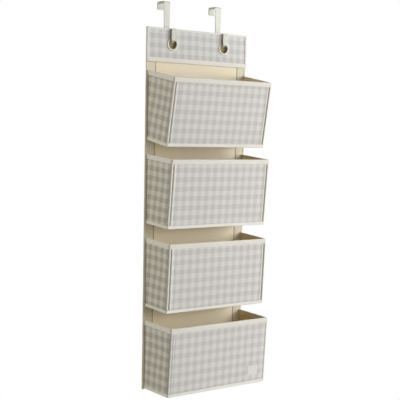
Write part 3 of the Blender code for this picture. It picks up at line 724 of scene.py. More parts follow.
def back_cloth():
    """The long back sheet, stitched down two lines, with its edge strips and a slight looseness
    between the pockets."""
    near_seams = [side * (SEAM_X + past * MM) for side in (-1, 1)
                  for past in (-2.4, -1.2, -0.6, 0, 0.6, 1.2, 2.4, 22.5, 23.5)]
    xs = np.concatenate([spread(-SHEET_HALF, SHEET_HALF, CLOTH_STEP), near_seams])
    xs = np.array(sorted(set(np.round(xs, 5))))
    x, z = np.meshgrid(xs, spread(SHEET_FOOT, HEADER_TOP - 1.1 * MM, SHEET_STEP))
    # It is held at its edges, at each pocket's heel and under the header
    loose = 1 - np.exp(-((np.abs(x) - 0.1676) / 0.012) ** 2)
    for pocket in POCKETS:
        loose = loose * (1 - np.exp(-((z - pocket["heel"]) / 0.012) ** 2))
    loose = loose * np.clip((HEADER_FOOT - z) / 0.02, 0, 1)
    y = np.full(x.shape, SHEET_FRONT + 0.1 * MM) + loose * 1.1 * MM * waves(x, z, 1.0, 0.17)
    past_seam = np.abs(x) - SEAM_X
    groove = np.exp(-(past_seam / (0.7 * MM)) ** 2)
    pucker = np.exp(-(past_seam / (5 * MM)) ** 2)
    pucker = pucker * (0.5 + 0.5 * np.sin(z * 2 * math.pi / 0.0115 + 2 * np.sin(z * 37)))
    y = y + groove * 0.45 * MM + pucker * 0.22 * MM
    y = np.where(np.abs(x) > SEAM_X + 1 * MM, y - 0.1 * MM, y)
    obj = cloth_grid("back_sheet_cloth", np.stack([x, y, z], -1), np.stack([x, z], -1))
    # Painted shade darkens the sheet in the seam's groove; past the seam the strip takes its own tone
    seam_groove_shade = np.interp(np.abs(past_seam) / MM, (0.6, 1.2, 2.4), (1.0, 0.6, 0.0))
    write_attribute(obj, "seam", np.where(past_seam > 2 * MM, 1.0, -seam_groove_shade))
    face_outward(obj, (0, -1, -0.5))
    thicken(obj, SHEET_CLOTH)
    cut_eyelet_holes(obj)
    smooth(obj)
    dress(obj, "sheet", [SHEET_FINISH], ["back_sheet"])
    runs = []
    zs = spread(SHEET_FOOT + STITCH_INSET, HEADER_FOOT, SEAM_STEP)
    for side in (-1, 1):
        for past, sunk in ((0.0, 0.45), (2.6, 0.05)):
            across = side * (SEAM_X + past * MM)
            runs.append(([(across, SHEET_FRONT + sunk * MM, z) for z in zs], (0, -1, 0)))
            runs.append(([(across, SHEET_BACK, z) for z in zs], (0, 1, 0)))
    threads = stitching("back_sheet_stitches", runs, SEAM_THREAD_FINISH, "sheet")


def sheet_edge(side, word):
    """The folded binding down one side edge of the back sheet."""
    top = HEADER_FOOT - GAP
    path = [(side * HALF_WIDTH, z) for z in spread(SHEET_FOOT, top, TAPE_STEP)]
    profile = u_profile(SHEET_FRONT - 1.0 * MM, BINDING_BACK, 5.5 * MM, 5.5 * MM, rounding=1.0 * MM)
    limits = ((-HALF_WIDTH, HALF_WIDTH), (None, None))

    def place(a, b, depth):
        wander = 0.25 * MM * math.sin(b * 21 + side) + 0.15 * MM * math.sin(b * 57)
        return (a - side * abs(wander), depth, b)

    obj = folded_tape(f"sheet_edge_tape_{word}", path, profile, limits, place, TAPE,
                      outside=(side * 0.3, -0.5, -0.5))
    dress(obj, "sheet", [EDGE_TAPE_SHADED_COPY], [f"sheet_binding_{word}"])
    zs = spread(SHEET_FOOT + 1 * MM, top - 1 * MM, SEAM_STEP)
    runs = [([place(side * 0.1710, z, depth) for z in zs], up)
            for depth, up in ((SHEET_FRONT - 1.05 * MM, (0, -1, 0)), (BINDING_BACK, (0, 1, 0)))]
    threads = stitching(f"sheet_edge_stitches_{word}", runs, THREAD_FINISH, "sheet")


# Pockets

class Pocket:
    """One pocket's folds and directions, in the world."""

    def __init__(self, number):
        facts = POCKETS[number - 1]
        self.number = number
        self.name = f"pocket_{number}"
        self.ridge = facts["ridge"]
        self.edge_shade = facts["edge_shade"]
        self.half_base = facts["half_base"]
        self.heel = facts["heel"]
        slope, lean = math.radians(facts["slope"]), math.radians(facts["lean"])
        self.squash_by = (f"{self.name}_fold", facts["keep"])
        self.rear_axis = Vector(JOINTS[f"{self.name}_fold"]["pos_m"])
        self.front_axis = Vector(JOINTS[f"{self.name}_front_fold"]["pos_m"])
        self.forward = Vector((0, -math.cos(slope), -math.sin(slope)))
        self.over = Vector((0, -math.sin(slope), math.cos(slope)))
        self.out = Vector((0, -math.cos(lean), -math.sin(lean)))
        self.up = Vector((0, -math.sin(lean), math.cos(lean)))

    def on_front(self, x, out, up):
        """A place on the front: across, outward from its fold line, and up from it."""
        return self.front_axis + Vector((x, 0, 0)) + self.out * out + self.up * up

    def on_base(self, x, forward, up):
        return self.rear_axis + Vector((x, 0, 0)) + self.forward * forward + self.over * up

    def on_side(self, x, share, down=None, rise=None):
        """A place on a side: its share of the way forward, and how far below the top edge or
        above the foot it is."""
        if down is not None:
            back_up, front_up = BACK_TOP - down, FRONT_TOP - down
        else:
            back_up, front_up = rise, FRONT_FOOT + rise
        back = Vector((0, SHEET_FRONT - GAP, self.heel + back_up))
        point = back.lerp(self.on_front(0, SIDE_MEETS_FRONT, front_up), share)
        point.x = x
        return point


# The sleeve's corner in millimetres, as (across from the pocket's half width, outward), plain and
# pinched: a low strip, a groove, then the ridge that covers the sleeve's edge. The third number
# is painted light there, a painted highlight on the crest above zero and painted shade in the
# groove and on the edge below it, and the last points but one are the edge
CORNER_PLAIN = (
    (-12.6, 4.9), (-11.8, 4.9), (-10.6, 4.9), (-9.2, 4.9), (-7.9, 4.9), (-6.9, 4.9), (-6.0, 4.9),
    (-5.0, 4.9), (-3.9, 4.9), (-3.1, 4.9), (-2.4, 4.9), (-1.4, 4.88), (-0.6, 4.8), (-0.15, 4.5),
    (0, 4.0), (0, 3.2), (0, 2.2), (0, 1.2), (-0.15, 0.65), (-0.5, 0.38), (-1.2, 0.3), (-3.0, 0.3))
CORNER_PINCHED = (
    (-12.6, 4.95, 0), (-11.8, 5.2, 0.3), (-10.6, 5.7, 0.6), (-9.2, 5.8, 0.6), (-7.9, 5.45, 0.3),
    (-6.9, 4.85, -0.6), (-6.0, 4.45, -1), (-5.0, 4.42, -1), (-3.9, 4.45, -1), (-3.1, 4.9, -0.5),
    (-2.4, 5.8, 0.8), (-1.2, 6.3, 1), (0.2, 6.2, 1), (1.1, 5.5, 1), (1.45, 4.6, 0.7), (1.4, 3.8, 0),
    (1.35, 2.2, 0), (1.45, 0.8, -0.2), (1.2, 0.0, -0.5), (0.5, -0.5, -0.8), (-0.8, -0.3, -0.5),
    (-3.0, 0.3, 0))
CORNER_REACH = 12.6 * MM
EDGE_POINTS = slice(-7, -1)


def front_cloth(pocket):
    """The gingham sleeve over the front board, with its corners pinched into narrow seams."""
    count = len(CORNER_PLAIN)
    plain = np.array(CORNER_PLAIN) * MM
    pinched = np.array(CORNER_PINCHED)[:, :2] * MM
    shades = np.array(CORNER_PINCHED)[:, 2]
    flats = spread(-POCKET_HALF + CORNER_REACH, POCKET_HALF - CORNER_REACH, CLOTH_STEP)[1:-1]
    inner_flats = spread(-POCKET_HALF + 3 * MM, POCKET_HALF - 3 * MM, CLOTH_STEP)[1:-1]
    low, high = FRONT_FOOT + BASE_BAND, FRONT_TOP - MOUTH_BAND
    zs = np.concatenate([
        [-2.8 * MM, 1 * MM, low, low + 0.5 * MM, low + 1.2 * MM, low + 2.2 * MM],
        spread(low + 4 * MM, high - 4 * MM, CLOTH_STEP),
        [high - 2.2 * MM, high - 1.2 * MM, high - 0.5 * MM, high, high + 6 * MM, FRONT_TOP - 1.1 * MM]])
    grid, seam = [], []
    for z in zs:
        # The corners are pinched and the faces swell only between the two tapes
        free = (min(1, max(0, (z - low - 0.4 * MM) / (1.8 * MM)))
                * min(1, max(0, (high - 0.4 * MM - z) / (1.8 * MM))))
        soft = free * free * (3 - 2 * free)
        fade = soft * pocket.ridge
        body = min(1, max(0, (z - low) / 0.03)) * min(1, max(0, (high - z) / 0.03))
        wobble = 0.12 * MM * math.sin(z * 310 + pocket.number) * free
        shade = shades * fade
        # Painted shade darkens the corner's edge, most on the lowest pocket
        shade[EDGE_POINTS] -= pocket.edge_shade * soft
        seam += [0] * len(flats) + list(shade) + [0] * len(inner_flats) + list(shade[::-1])
        corner = [(POCKET_HALF + across + (wobble if 1 < i < count - 3 else 0), out)
                  for i, (across, out) in enumerate(plain * (1 - fade) + pinched * fade)]
        row = []
        for x in flats:
            swell = (0.35 * (1 - (x / POCKET_HALF) ** 6) * body
                     + 0.30 * (float(waves(x, z, pocket.number * 3.1, 0.15)) - 0.4) * body) * MM
            row.append((x, SLEEVE_OUTSIDE + swell))
        row += corner
        row += [(x, SLEEVE_INSIDE + 0.15 * MM * float(waves(x, z, pocket.number * 1.3 + 9, 0.12)) * body)
                for x in inner_flats[::-1]]
        row += [(-x, out) for x, out in corner[::-1]]
        grid.append([pocket.on_front(x, out, z) for x, out in row])
    # The check runs straight across the outer face, and on round the corners by the cloth's length
    section = [(x, SLEEVE_OUTSIDE) for x in flats]
    section += [(POCKET_HALF + across, out) for across, out in plain]
    section += [(x, SLEEVE_INSIDE) for x in inner_flats[::-1]]
    section += [(-POCKET_HALF - across, out) for across, out in plain[::-1]]
    along = lengths_along(np.array(section + section[:1])) + flats[0]
    flat = np.stack(np.meshgrid(along, zs - FRONT_FOOT), -1)
    obj = cloth_grid(f"{pocket.name}_front_cloth", grid,
                     checks_map(flat, FRONT_CHECKS[pocket.number - 1]), ring=True)
    write_attribute(obj, "seam", seam)
    face_outward(obj, pocket.on_front(0, 0.5, 0.09))
    obj.data.materials.append(GINGHAM)
    obj.data.materials.append(LINING)
    middle = pocket.on_front(0, 2.6 * MM, 0)
    for face in obj.data.polygons:
        behind = (face.center - middle).dot(pocket.out) < -1.2 * MM
        face.material_index = int(behind and abs(face.center.x) < POCKET_HALF - 0.5 * MM)
    thicken(obj, CLOTH)
    smooth(obj, 60)
    dress(obj, f"{pocket.name}_face", nodes=[f"{pocket.name}_front_cover"])


def ring_path(half, low, high, radius):
    """A long rounded rectangle round the front's edge, as (across, outward)."""
    path = [(x, high) for x in spread(-half + radius, half - radius, TAPE_STEP)]
    steps = 4
    corners = ((half - radius, high - radius, 90), (half - radius, low + radius, 0),
               (-half + radius, low + radius, -90), (-half + radius, high - radius, 180))
    for number, (x, out, start) in enumerate(corners):
        arc = [math.radians(start - 90 * step / steps) for step in range(steps + 1)]
        points = [(x + radius * math.cos(a), out + radius * math.sin(a)) for a in arc]
        # The first corner starts where the straight ends, and the last ends where it starts
        path += points[1:] if number == 0 else points[:-1] if number == 3 else points
        if number == 1:
            path += [(x, low) for x in spread(-half + radius, half - radius, TAPE_STEP)[::-1][1:-1]]
    return path


def folded_rows(radius, edge, inward):
    """The rows of a tape that turn over an edge, as (height, inset in millimetres)."""
    rows = []
    for step in range(1, 6):
        angle = math.radians(90 * step / 5)
        rows.append((edge - inward * radius * MM * (1 - math.sin(angle)),
                     radius * (1 - math.cos(angle))))
    return rows


def as_profile(rows):
    return [(height, amount * MM, amount * MM) for height, amount in rows]


def mouth_tape(pocket):
    """The tape folded over the top of the front, round its corners."""
    path = ring_path(BAND_HALF, BAND_LOW, BAND_HIGH, BAND_CORNER)
    foot, top = FRONT_TOP - MOUTH_BAND, FRONT_TOP
    rows = [(foot, 0.12), (foot + 0.5 * MM, 0.02), (foot + 2 * MM, 0.08), (foot + 4 * MM, 0.0),
            (foot + 7 * MM, 0.0), (top - 2.4 * MM, 0.0)]
    rows += folded_rows(2.4, top, 1) + [(top, 3.4)]
    limits = ((-BAND_HALF, BAND_HALF), (BAND_LOW, BAND_HIGH))

    def place(x, out, z):
        lift = 0.25 * MM * math.sin(x * 23 + pocket.number) + 0.12 * MM * math.sin(x * 71 + 2)
        return pocket.on_front(x, out, z - abs(lift) * (1 if z > foot + 1 * MM else 0.6))

    obj = folded_tape(f"{pocket.name}_mouth_tape", path, as_profile(rows), limits, place, TAPE,
                      ring=True, outside=pocket.on_front(0, 0.5, FRONT_TOP))
    dress(obj, f"{pocket.name}_face", [MOUTH_TAPE_SHADED_COPY],
          [f"{pocket.name}_mouth_band"])
    xs = spread(-BAND_HALF + 1 * MM, BAND_HALF - 1 * MM, CLOTH_STEP)
    runs = [([place(x, out, foot + STITCH_INSET) for x in xs], up)
            for out, up in ((BAND_HIGH - 0.02 * MM, pocket.out), (BAND_LOW + 0.02 * MM, -pocket.out))]
    threads = stitching(f"{pocket.name}_mouth_stitches", runs, THREAD_FINISH, f"{pocket.name}_face")


def foot_tape(pocket):
    """The tape along the foot of the front, folded under it."""
    ring = ring_path(BAND_HALF, BAND_LOW - 4 * MM, BAND_HIGH, BAND_CORNER)
    # An open path from the inner end of the left side, round the outside, to that of the right
    outer = sorted([point for point in ring if point[1] > BAND_HIGH - BAND_CORNER - 1e-6],
                   key=lambda point: (point[0], point[1] if point[0] < 0 else -point[1]))
    ends = [BAND_LOW, BAND_LOW + 1.5 * MM, BAND_LOW + 3.0 * MM]
    path = [(-BAND_HALF, out) for out in ends] + outer + [(BAND_HALF, out) for out in ends[::-1]]
    top, foot = FRONT_FOOT + BASE_BAND, FRONT_FOOT
    rows = [(top, 0.12), (top - 0.5 * MM, 0.02), (top - 2 * MM, 0.08), (top - 4 * MM, 0.0),
            (foot + 2.0 * MM, 0.0)]
    rows += folded_rows(1.8, foot, -1) + [(foot, 3.4), (foot, 5.2), (foot + 0.05 * MM, 6.7)]
    limits = ((-BAND_HALF, BAND_HALF), (None, BAND_HIGH))

    def place(x, out, z):
        return pocket.on_front(x, out, z + 0.15 * MM * abs(math.sin(x * 19 + pocket.number)))

    obj = folded_tape(f"{pocket.name}_foot_tape", path, as_profile(rows), limits, place, TAPE,
                      outside=pocket.on_front(0, 0.5, foot))
    dress(obj, f"{pocket.name}_face", [TAPE_FINISH],
          [f"{pocket.name}_base_binding"])
    xs = spread(-BAND_HALF + 1 * MM, BAND_HALF - 1 * MM, CLOTH_STEP)
    line = [place(x, BAND_HIGH - 0.02 * MM, top - STITCH_INSET) for x in xs]
    threads = stitching(f"{pocket.name}_foot_stitches", [(line, pocket.out)], THREAD_FINISH,
                        f"{pocket.name}_face")


def side_cloth(pocket, side, word):
    """A soft side, gingham outside and lining inside, drawn in between its hems."""
    shares = np.concatenate([[0, 0.015], spread(0.04, 0.96, 0.04), [0.985, 1]])
    heights = np.concatenate([[0, 0.02], spread(0.05, 0.95, 0.03), [0.98, 1]])
    heel = Vector((0, SHEET_FRONT, pocket.heel))
    grid, flats = [], []
    for height in heights:
        row, flat_row = [], []
        for share in shares:
            low = pocket.on_side(0, share, rise=1.1 * MM)
            point = low.lerp(pocket.on_side(0, share, down=1.1 * MM), height)
            # It stays flat low down, where the base folds up beside it
            free = min(1, max(0, (height - 0.30) / 0.63))
            bow = 2.4 * math.sin(math.pi * share) * math.sin(math.pi * free) ** 2
            fold = 0.9 * (float(waves(point.y, point.z, pocket.number * 2.3 + side, 0.11)) - 0.5)
            fold *= math.sin(math.pi * share) * math.sin(math.pi * free)
            point.x = side * (POCKET_HALF - (bow + fold) * MM)
            row.append(point)
            from_heel = point - heel
            flat_row.append((from_heel.dot(pocket.forward), from_heel.dot(pocket.over)))
        grid.append(row)
        flats.append(flat_row)
    flat = checks_map(np.array(flats), SIDE_CHECKS[pocket.number - 1])
    if side > 0:
        flat[..., 0] = -flat[..., 0]
    obj = cloth_grid(f"{pocket.name}_side_cloth_{word}", grid, flat)
    # Painted shade darkens the cloth a little where it meets the front's ridge and the back sheet
    seam = [-0.3 * max(0, (share - 0.88) / 0.12) - 0.2 * max(0, (0.08 - share) / 0.08)
            for share in shares]
    write_attribute(obj, "seam", np.tile(seam, len(heights)))
    face_outward(obj, (side * 0.5, -0.08, pocket.heel + 0.09))
    # The left side takes the copy of the gingham that paints its shaded look
    obj.data.materials.append(GINGHAM_SHADED_SIDE_COPY if side < 0 else GINGHAM)
    obj.data.materials.append(LINING)
    thicken(obj, CLOTH + 0.2 * MM, lining=1)
    smooth(obj, 60)
    dress(obj, "sheet", nodes=[f"{pocket.name}_side_{word}"],
          squash_by=pocket.squash_by)


def sewn_on_side(obj, pocket, side, word, kind, width, runs, **edge):
    """The stitches of a tape on a side. It works out the tape's length, which nothing uses."""
    threads = stitching(f"{pocket.name}_{kind}_stitches_{word}", runs, THREAD_FINISH, "sheet",
                        pocket.squash_by)
    length = (pocket.on_side(0, 1, **edge) - pocket.on_side(0, 0, **edge)).length


def side_tape(pocket, side, word):
    """The tape folded over the top edge of one side."""
    path = [(share, 0.0) for share in spread(0, 1, 0.04)]
    profile = u_profile(BAND_HALF, BAND_INSIDE, MOUTH_BAND, MOUTH_BAND, rounding=1.2 * MM)

    def place(share, down, x):
        drop = 0.15 * MM * abs(math.sin(share * 9 + side))
        return pocket.on_side(side * x, share, down=down + drop)

    obj = folded_tape(f"{pocket.name}_side_tape_{word}", path, profile, SIDE_LIMITS, place, TAPE,
                      outside=(side * 0.5, -0.08, pocket.heel + BACK_TOP))
    stretch_map(obj, 2 * pocket.half_base + 0.01)
    # The left side's tape is the lighter copy, painted light for its shaded face
    outer = LEFT_SIDE_TAPE_LIT_COPY if side < 0 else TAPE_FINISH
    dress(obj, "sheet", [outer, INNER_TAPE_FINISH],
          [f"{pocket.name}_side_band_{word}"], pocket.squash_by)
    for face in obj.data.polygons:
        face.material_index = 1 if abs(face.center.x) < 0.1674 else 0
    runs = [([place(share, MOUTH_BAND - STITCH_INSET, x) for share in STITCHED_SHARES], up)
            for x, up in ((BAND_HALF, (side, 0, 0)), (BAND_INSIDE, (-side, 0, 0)))]
    sewn_on_side(obj, pocket, side, word, "side", 0.0265, runs, down=0)


# A side's tapes run from the back to the front in shares of its depth, up to their own edge
SIDE_LIMITS = ((None, None), (0.0, None))
STITCHED_SHARES = spread(0.01, 0.99, 0.05)


def stretch_map(obj, length):
    """Makes the flat map of a tape whose path was given in shares true in metres."""
    for corner in obj.data.uv_layers["flat"].data:
        corner.uv.x *= length


def side_foot_tape(pocket, side, word):
    """The tape sewn along the foot of one side and turned under it."""
    path = [(share, 0.0) for share in spread(0, 1, 0.04)]
    section = [(BAND_HALF - 0.05 * MM, BASE_BAND), (BAND_HALF, BASE_BAND - 0.5 * MM),
               (BAND_HALF - 0.05 * MM, BASE_BAND - 2 * MM), (BAND_HALF, 4 * MM),
               (BAND_HALF, 1.5 * MM), (BAND_HALF - 0.15 * MM, 0.6 * MM),
               (BAND_HALF - 0.5 * MM, 0.15 * MM), (BAND_HALF - 0.9 * MM, 0.0),
               (0.1676, 0.05 * MM), (0.1670, 0.35 * MM)]
    profile = [(x, 0.0, rise) for x, rise in section]

    def place(share, rise, x):
        return pocket.on_side(side * x, share, rise=rise)

    obj = folded_tape(f"{pocket.name}_side_foot_tape_{word}", path, profile, SIDE_LIMITS, place,
                      TAPE * 0.8, outside=(side * 0.5, -0.08, pocket.heel))
    stretch_map(obj, 2 * pocket.half_base + 0.01)
    dress(obj, "sheet", [LEFT_SIDE_TAPE_LIT_COPY if side < 0 else TAPE_FINISH],
          squash_by=pocket.squash_by)
    line = [place(share, BASE_BAND - STITCH_INSET, BAND_HALF) for share in STITCHED_SHARES]
    sewn_on_side(obj, pocket, side, word, "side_foot", 0.0115, [(line, (side, 0, 0))], rise=0)


def base_board(pocket, start, end, word, body, node):
    """One covered board of the base: cloth drawn round it and sewn shut at both ends."""
    radius = 0.9 * MM
    low, high = BASE_LOW, BASE_HIGH
    between = spread(start + radius, end - radius, SEAM_STEP)[1:-1]
    section = []
    for forward, up, first in ((end - radius, high - radius, 90), (end - radius, low + radius, 0),
                               (start + radius, low + radius, -90),
                               (start + radius, high - radius, 180)):
        for step in range(5):
            angle = math.radians(first - 90 * step / 4)
            section.append((forward + radius * math.cos(angle), up + radius * math.sin(angle)))
        if first == 0:
            section += [(place, low) for place in between[::-1]]
        if first == 180:
            section += [(place, high) for place in between]
    rows = [(-BASE_HALF, 1.2), (-BASE_HALF + 0.3 * MM, 0.45), (-BASE_HALF + 0.9 * MM, 0.1)]
    rows += [(x, 0.0) for x in spread(-BASE_HALF + 1.6 * MM, BASE_HALF - 1.6 * MM, 8 * MM)]
    rows += [(BASE_HALF - 0.9 * MM, 0.1), (BASE_HALF - 0.3 * MM, 0.45), (BASE_HALF, 1.2)]

    def place(forward, up, x):
        return pocket.on_base(x, forward, up)

    obj = folded_tape(f"{pocket.name}_{word}_cover", section, as_profile(rows),
                      ((start, end), (low, high)), place, CLOTH, ring=True,
                      outside=pocket.on_base(0, (start + end) / 2, 0.3))
    dress(obj, body, [BASE_FINISH], [node])


def label():
    """The small woven label on the lowest pocket, left bare, folded under and sewn at its ends."""
    pocket = Pocket(4)
    half, low, high = 18.5 * MM, FRONT_FOOT + 24 * MM, FRONT_FOOT + 50 * MM
    middle, step = 0.123, 1.5 * MM
    grid, flats = [], []
    for z in spread(low, high, step):
        row, flat_row = [], []
        for x in spread(-half, half, step):
            edge = min(half - abs(x), z - low, high - z)
            lift = (0.55 * MM + 0.25 * MM * min(1, edge / (3 * MM))
                    + 0.06 * MM * math.sin(x * 420) * math.sin(z * 300))
            row.append(pocket.on_front(middle + x, 5.2 * MM + lift, z))
            flat_row.append((x, z))
        grid.append(row)
        flats.append(flat_row)
    obj = cloth_grid("label_cloth", grid, np.array(flats))
    face_outward(obj, pocket.on_front(middle, 0.3, low))
    thicken(obj, 0.4 * MM)
    smooth(obj)
    dress(obj, "pocket_4_face", [LABEL_FINISH], ["label"])
    runs = [([pocket.on_front(middle + x, 5.9 * MM, z)
              for z in spread(low + 1 * MM, high - 1 * MM, 2 * MM)], pocket.out)
            for x in (-half + 1.2 * MM, half - 1.2 * MM)]
    threads = stitching("label_stitches", runs, THREAD_FINISH, "pocket_4_face")


# Metal

def turned_ring(name, x, profile, materials, node):
    """An eyelet part: a circle drawn out round its section by extruding and scaling."""
    bpy.ops.object.select_all(action="DESELECT")
    radius, depth = profile[0]
    bpy.ops.mesh.primitive_circle_add(vertices=72, radius=radius, fill_type="NOTHING",
                                      location=(x, depth, EYELET_Z), rotation=(math.pi / 2, 0, 0))
    obj = bpy.context.active_object
    obj.name = obj.data.name = name
    bpy.ops.object.transform_apply(location=True, rotation=True, scale=True)
    bpy.ops.object.mode_set(mode="EDIT")
    bpy.ops.mesh.select_mode(type="VERT")
    bpy.ops.mesh.select_all(action="SELECT")
    for new_radius, new_depth in profile[1:] + profile[:1]:
        bpy.ops.mesh.extrude_region_move(
            TRANSFORM_OT_translate={"value": (0, new_depth - depth, 0)})
        scale = new_radius / radius
        bpy.ops.transform.resize(value=(scale, 1, scale), center_override=(x, new_depth, EYELET_Z))
        radius, depth = new_radius, new_depth
    bpy.ops.mesh.select_all(action="SELECT")
    bpy.ops.mesh.remove_doubles(threshold=0.02 * MM)
    bpy.ops.mesh.normals_make_consistent(inside=False)
    bpy.ops.object.mode_set(mode="OBJECT")
    smooth(obj, 55)

    def away(place):
        return math.hypot(place.x - x, place.z - EYELET_Z)

    # Rubbed at its rim and round its bore
    write_attribute(obj, "wear", [0.35 if away(vertex.co) > 0.0180 or away(vertex.co) < 0.0140
                                  else 0.1 for vertex in obj.data.vertices])
    for material in materials:
        obj.data.materials.append(material)
    if len(materials) > 1:
        # The throat of the barrel is brass
        for face in obj.data.polygons:
            face.material_index = 1 if away(face.center) < 0.0122 else 0
    dress(obj, "sheet", nodes=[node])


def eyelets():
    """Both eyelets with their washers: a domed flange, a rolled bore and a lip over the washer."""
    front, back = EYELET_FRONT, EYELET_BACK
    middle = (front + back) / 2

    def bore_at(depth):
        return BORE + BORE_ROLL - math.sqrt(BORE_ROLL ** 2 - (depth - middle) ** 2)

    flange = [(bore_at(front) + 0.5 * MM, front - 0.22 * MM),
              (bore_at(front) + 1.1 * MM, front - 0.3 * MM), (0.0166, front - 0.22 * MM),
              (0.0176, front - 0.05 * MM), (0.0182, front + 0.15 * MM),
              (0.0185, front + 0.45 * MM), (0.01848, front + 0.72 * MM),
              (0.0183, front + METAL), (0.0140, front + METAL)]
    lip = [(0.0140, back - METAL), (0.0156, back - METAL), (0.0160, back - 0.6 * MM),
           (0.0160, back - 0.25 * MM), (0.0157, back - 0.03 * MM), (0.0152, back)]
    inside = [(bore_at(depth), depth) for depth in np.linspace(back, front, 13)]
    near = -0.0357
    washer = [(0.0182, near), (0.0185, near + 0.15 * MM), (0.0185, near + 0.6 * MM),
              (0.0182, near + METAL), (0.0146, near + METAL), (0.0143, near + 0.6 * MM),
              (0.0143, near + 0.15 * MM), (0.0146, near)]
    for side, word in ((-1, "left"), (1, "right")):
        x = side * EYELET_X
        turned_ring(f"eyelet_ring_{word}", x, flange + lip + inside, [ENAMEL, BRASS],
                    f"eyelet_{word}")
        turned_ring(f"eyelet_back_washer_{word}", x, washer, [ENAMEL], f"eyelet_washer_{word}")
        eyelet_backing(x, word)


def eyelet_backing(x, word):
    """A brown disc in the bottom of an eyelet's barrel, put there as painted shade to keep the hole
    dark, with a slit that the strap passes.
    """
    depth, radius = -0.0349, 0.0136
    # The slit is as high as the strap needs while the organizer swings
    slit_low, slit_high, slit_half = 5.2 * MM, 9.7 * MM, 8.8 * MM
    rows, flats = [], []
    around = [2 * math.pi * step / 64 for step in range(64)]
    for share in (0.0, 0.12, 0.3, 0.6, 1.0):
        row, flat_row = [], []
        for angle in around + around[:1]:
            across, high = math.cos(angle) * radius, math.sin(angle) * radius
            near_x = max(-slit_half, min(slit_half, across * 1.4))
            near_z = np.interp(math.sin(angle), (-0.19, 0.65), (slit_low, slit_high))
            place_x = near_x + (across - near_x) * share
            place_z = near_z + (high - near_z) * share
            row.append((x + place_x, depth + 0.25 * MM * math.sin(math.pi * share),
                        EYELET_Z + place_z))
            flat_row.append((place_x, place_z))
        rows.append(row[:-1])
        flats.append(flat_row)
    obj = cloth_grid(f"eyelet_backing_{word}", rows, np.array(flats), ring=True)
    face_outward(obj, (x, -0.3, EYELET_Z - 0.01))
    thicken(obj, CLOTH)
    smooth(obj)
    dress(obj, "sheet", [HOLE_SHADE_CLOTH])


def face_at_end(obj, y, z):
    """Selects only the face whose middle is nearest a place, in edit mode."""
    shape = bmesh.from_edit_mesh(obj.data)
    target = Vector((0, y, z))
    for face in shape.faces:
        face.select = False
    nearest = min(shape.faces, key=lambda face: (
        Vector((0, *face.calc_center_median().yz)) - target).length)
    nearest.select = True
    shape.select_flush_mode()
    bmesh.update_edit_mesh(obj.data)


def door_hook(side, word):
    """A strap bent from flat steel: return leg, bridge, tapering upright, trough and tip, by
    extruding and spinning."""
    x = side * EYELET_X
    thick, bend = 2.0 * MM, 2.4 * MM
    wide, narrow = 21.5 * MM, 16.5 * MM
    back_y, front_y, tip_y = 0.014, -0.014, -0.046
    bridge_z, trough_z, leg_z, tip_z = 0.001, -0.106, -0.019, HEADER_TOP
    upright_top, upright_foot = bridge_z - bend, trough_z + bend
    first = 4.0 * MM
    bpy.ops.object.select_all(action="DESELECT")
    bpy.ops.mesh.primitive_cube_add(size=1, location=(x, back_y, leg_z + first / 2),
                                    scale=(wide, thick, first))
    obj = bpy.context.active_object
    obj.name = obj.data.name = f"door_hook_{word}"
    bpy.ops.object.transform_apply(location=True, rotation=True, scale=True)
    bpy.ops.object.mode_set(mode="EDIT")
    bpy.ops.mesh.select_mode(type="FACE")
    face_at_end(obj, back_y, leg_z + first)

    def straight(dy, dz, steps, width_from=None, width_to=None):
        for step in range(steps):
            bpy.ops.mesh.extrude_region_move(
                TRANSFORM_OT_translate={"value": (0, dy / steps, dz / steps)})
            if width_from:
                now = width_from + (width_to - width_from) * (step + 1) / steps
                before = width_from + (width_to - width_from) * step / steps
                bpy.ops.transform.resize(value=(now / before, 1, 1), center_override=(x, 0, 0))

    def bend_round(y, z, degrees):
        # Spin counts its angle the other way round the X axis
        bpy.ops.mesh.spin(steps=8, angle=-math.radians(degrees), center=(x, y, z), axis=(1, 0, 0))

    straight(0, bridge_z - bend - (leg_z + first), 2)
    bend_round(back_y - bend, bridge_z - bend, 90)
    straight(front_y - back_y + 2 * bend, 0, 2)
    bend_round(front_y + bend, bridge_z - bend, 90)
    straight(0, trough_z + bend - (bridge_z - bend), 14, wide, narrow)
    bend_round(front_y - bend, trough_z + bend, -90)
    straight(tip_y - front_y + 2 * bend, 0, 3)
    bend_round(tip_y + bend, trough_z + bend, -90)
    straight(0, tip_z - (trough_z + bend), 4)
    # Round the corners of both ends
    same = 0.01 * MM
    shape = bmesh.from_edit_mesh(obj.data)
    for face in shape.faces:
        face.select = False
    for edge in shape.edges:
        one, other = (vertex.co for vertex in edge.verts)
        through = abs(one.y - other.y) > thick * 0.9 and abs(one.z - other.z) < same
        at_end = abs(one.z - tip_z) < same or abs(one.z - leg_z) < same
        edge.select = through and at_end and abs(one.x - other.x) < same
    bmesh.update_edit_mesh(obj.data)
    bpy.ops.mesh.bevel(offset=3.0 * MM, segments=6, affect="EDGES")
    bpy.ops.object.mode_set(mode="OBJECT")
    apply_modifier(obj, "BEVEL", width=0.45 * MM, segments=3, limit_method="ANGLE",
                   angle_limit=math.radians(50))
    smooth(obj, 50)
    # The flat faces keep their own normals, so that the small rounds don't shade them
    apply_modifier(obj, "WEIGHTED_NORMAL", keep_sharp=True, weight=100)
    # Wear along the strap's long edges: partly rubbed paint and partly a painted shade line down each
    # edge. The tip and the trough are rubbed by handling
    wear = []
    for x_here, y, z in (vertex.co for vertex in obj.data.vertices):
        below = min(1, max(0, (upright_top - z) / (upright_top - upright_foot)))
        half = wide / 2
        if y < 0:
            half = (wide + (narrow - wide) * below) / 2 if y > -0.020 else narrow / 2
        handled = 0.5 if y < tip_y + bend or z < trough_z + 3 * MM else 0.0
        wear.append(1.0 if abs(x_here - x) > half - 0.25 * MM else handled)
    write_attribute(obj, "wear", wear)
    dress(obj, "hooks", [PAINT], [f"hook_{word}"])


# Everything on the object

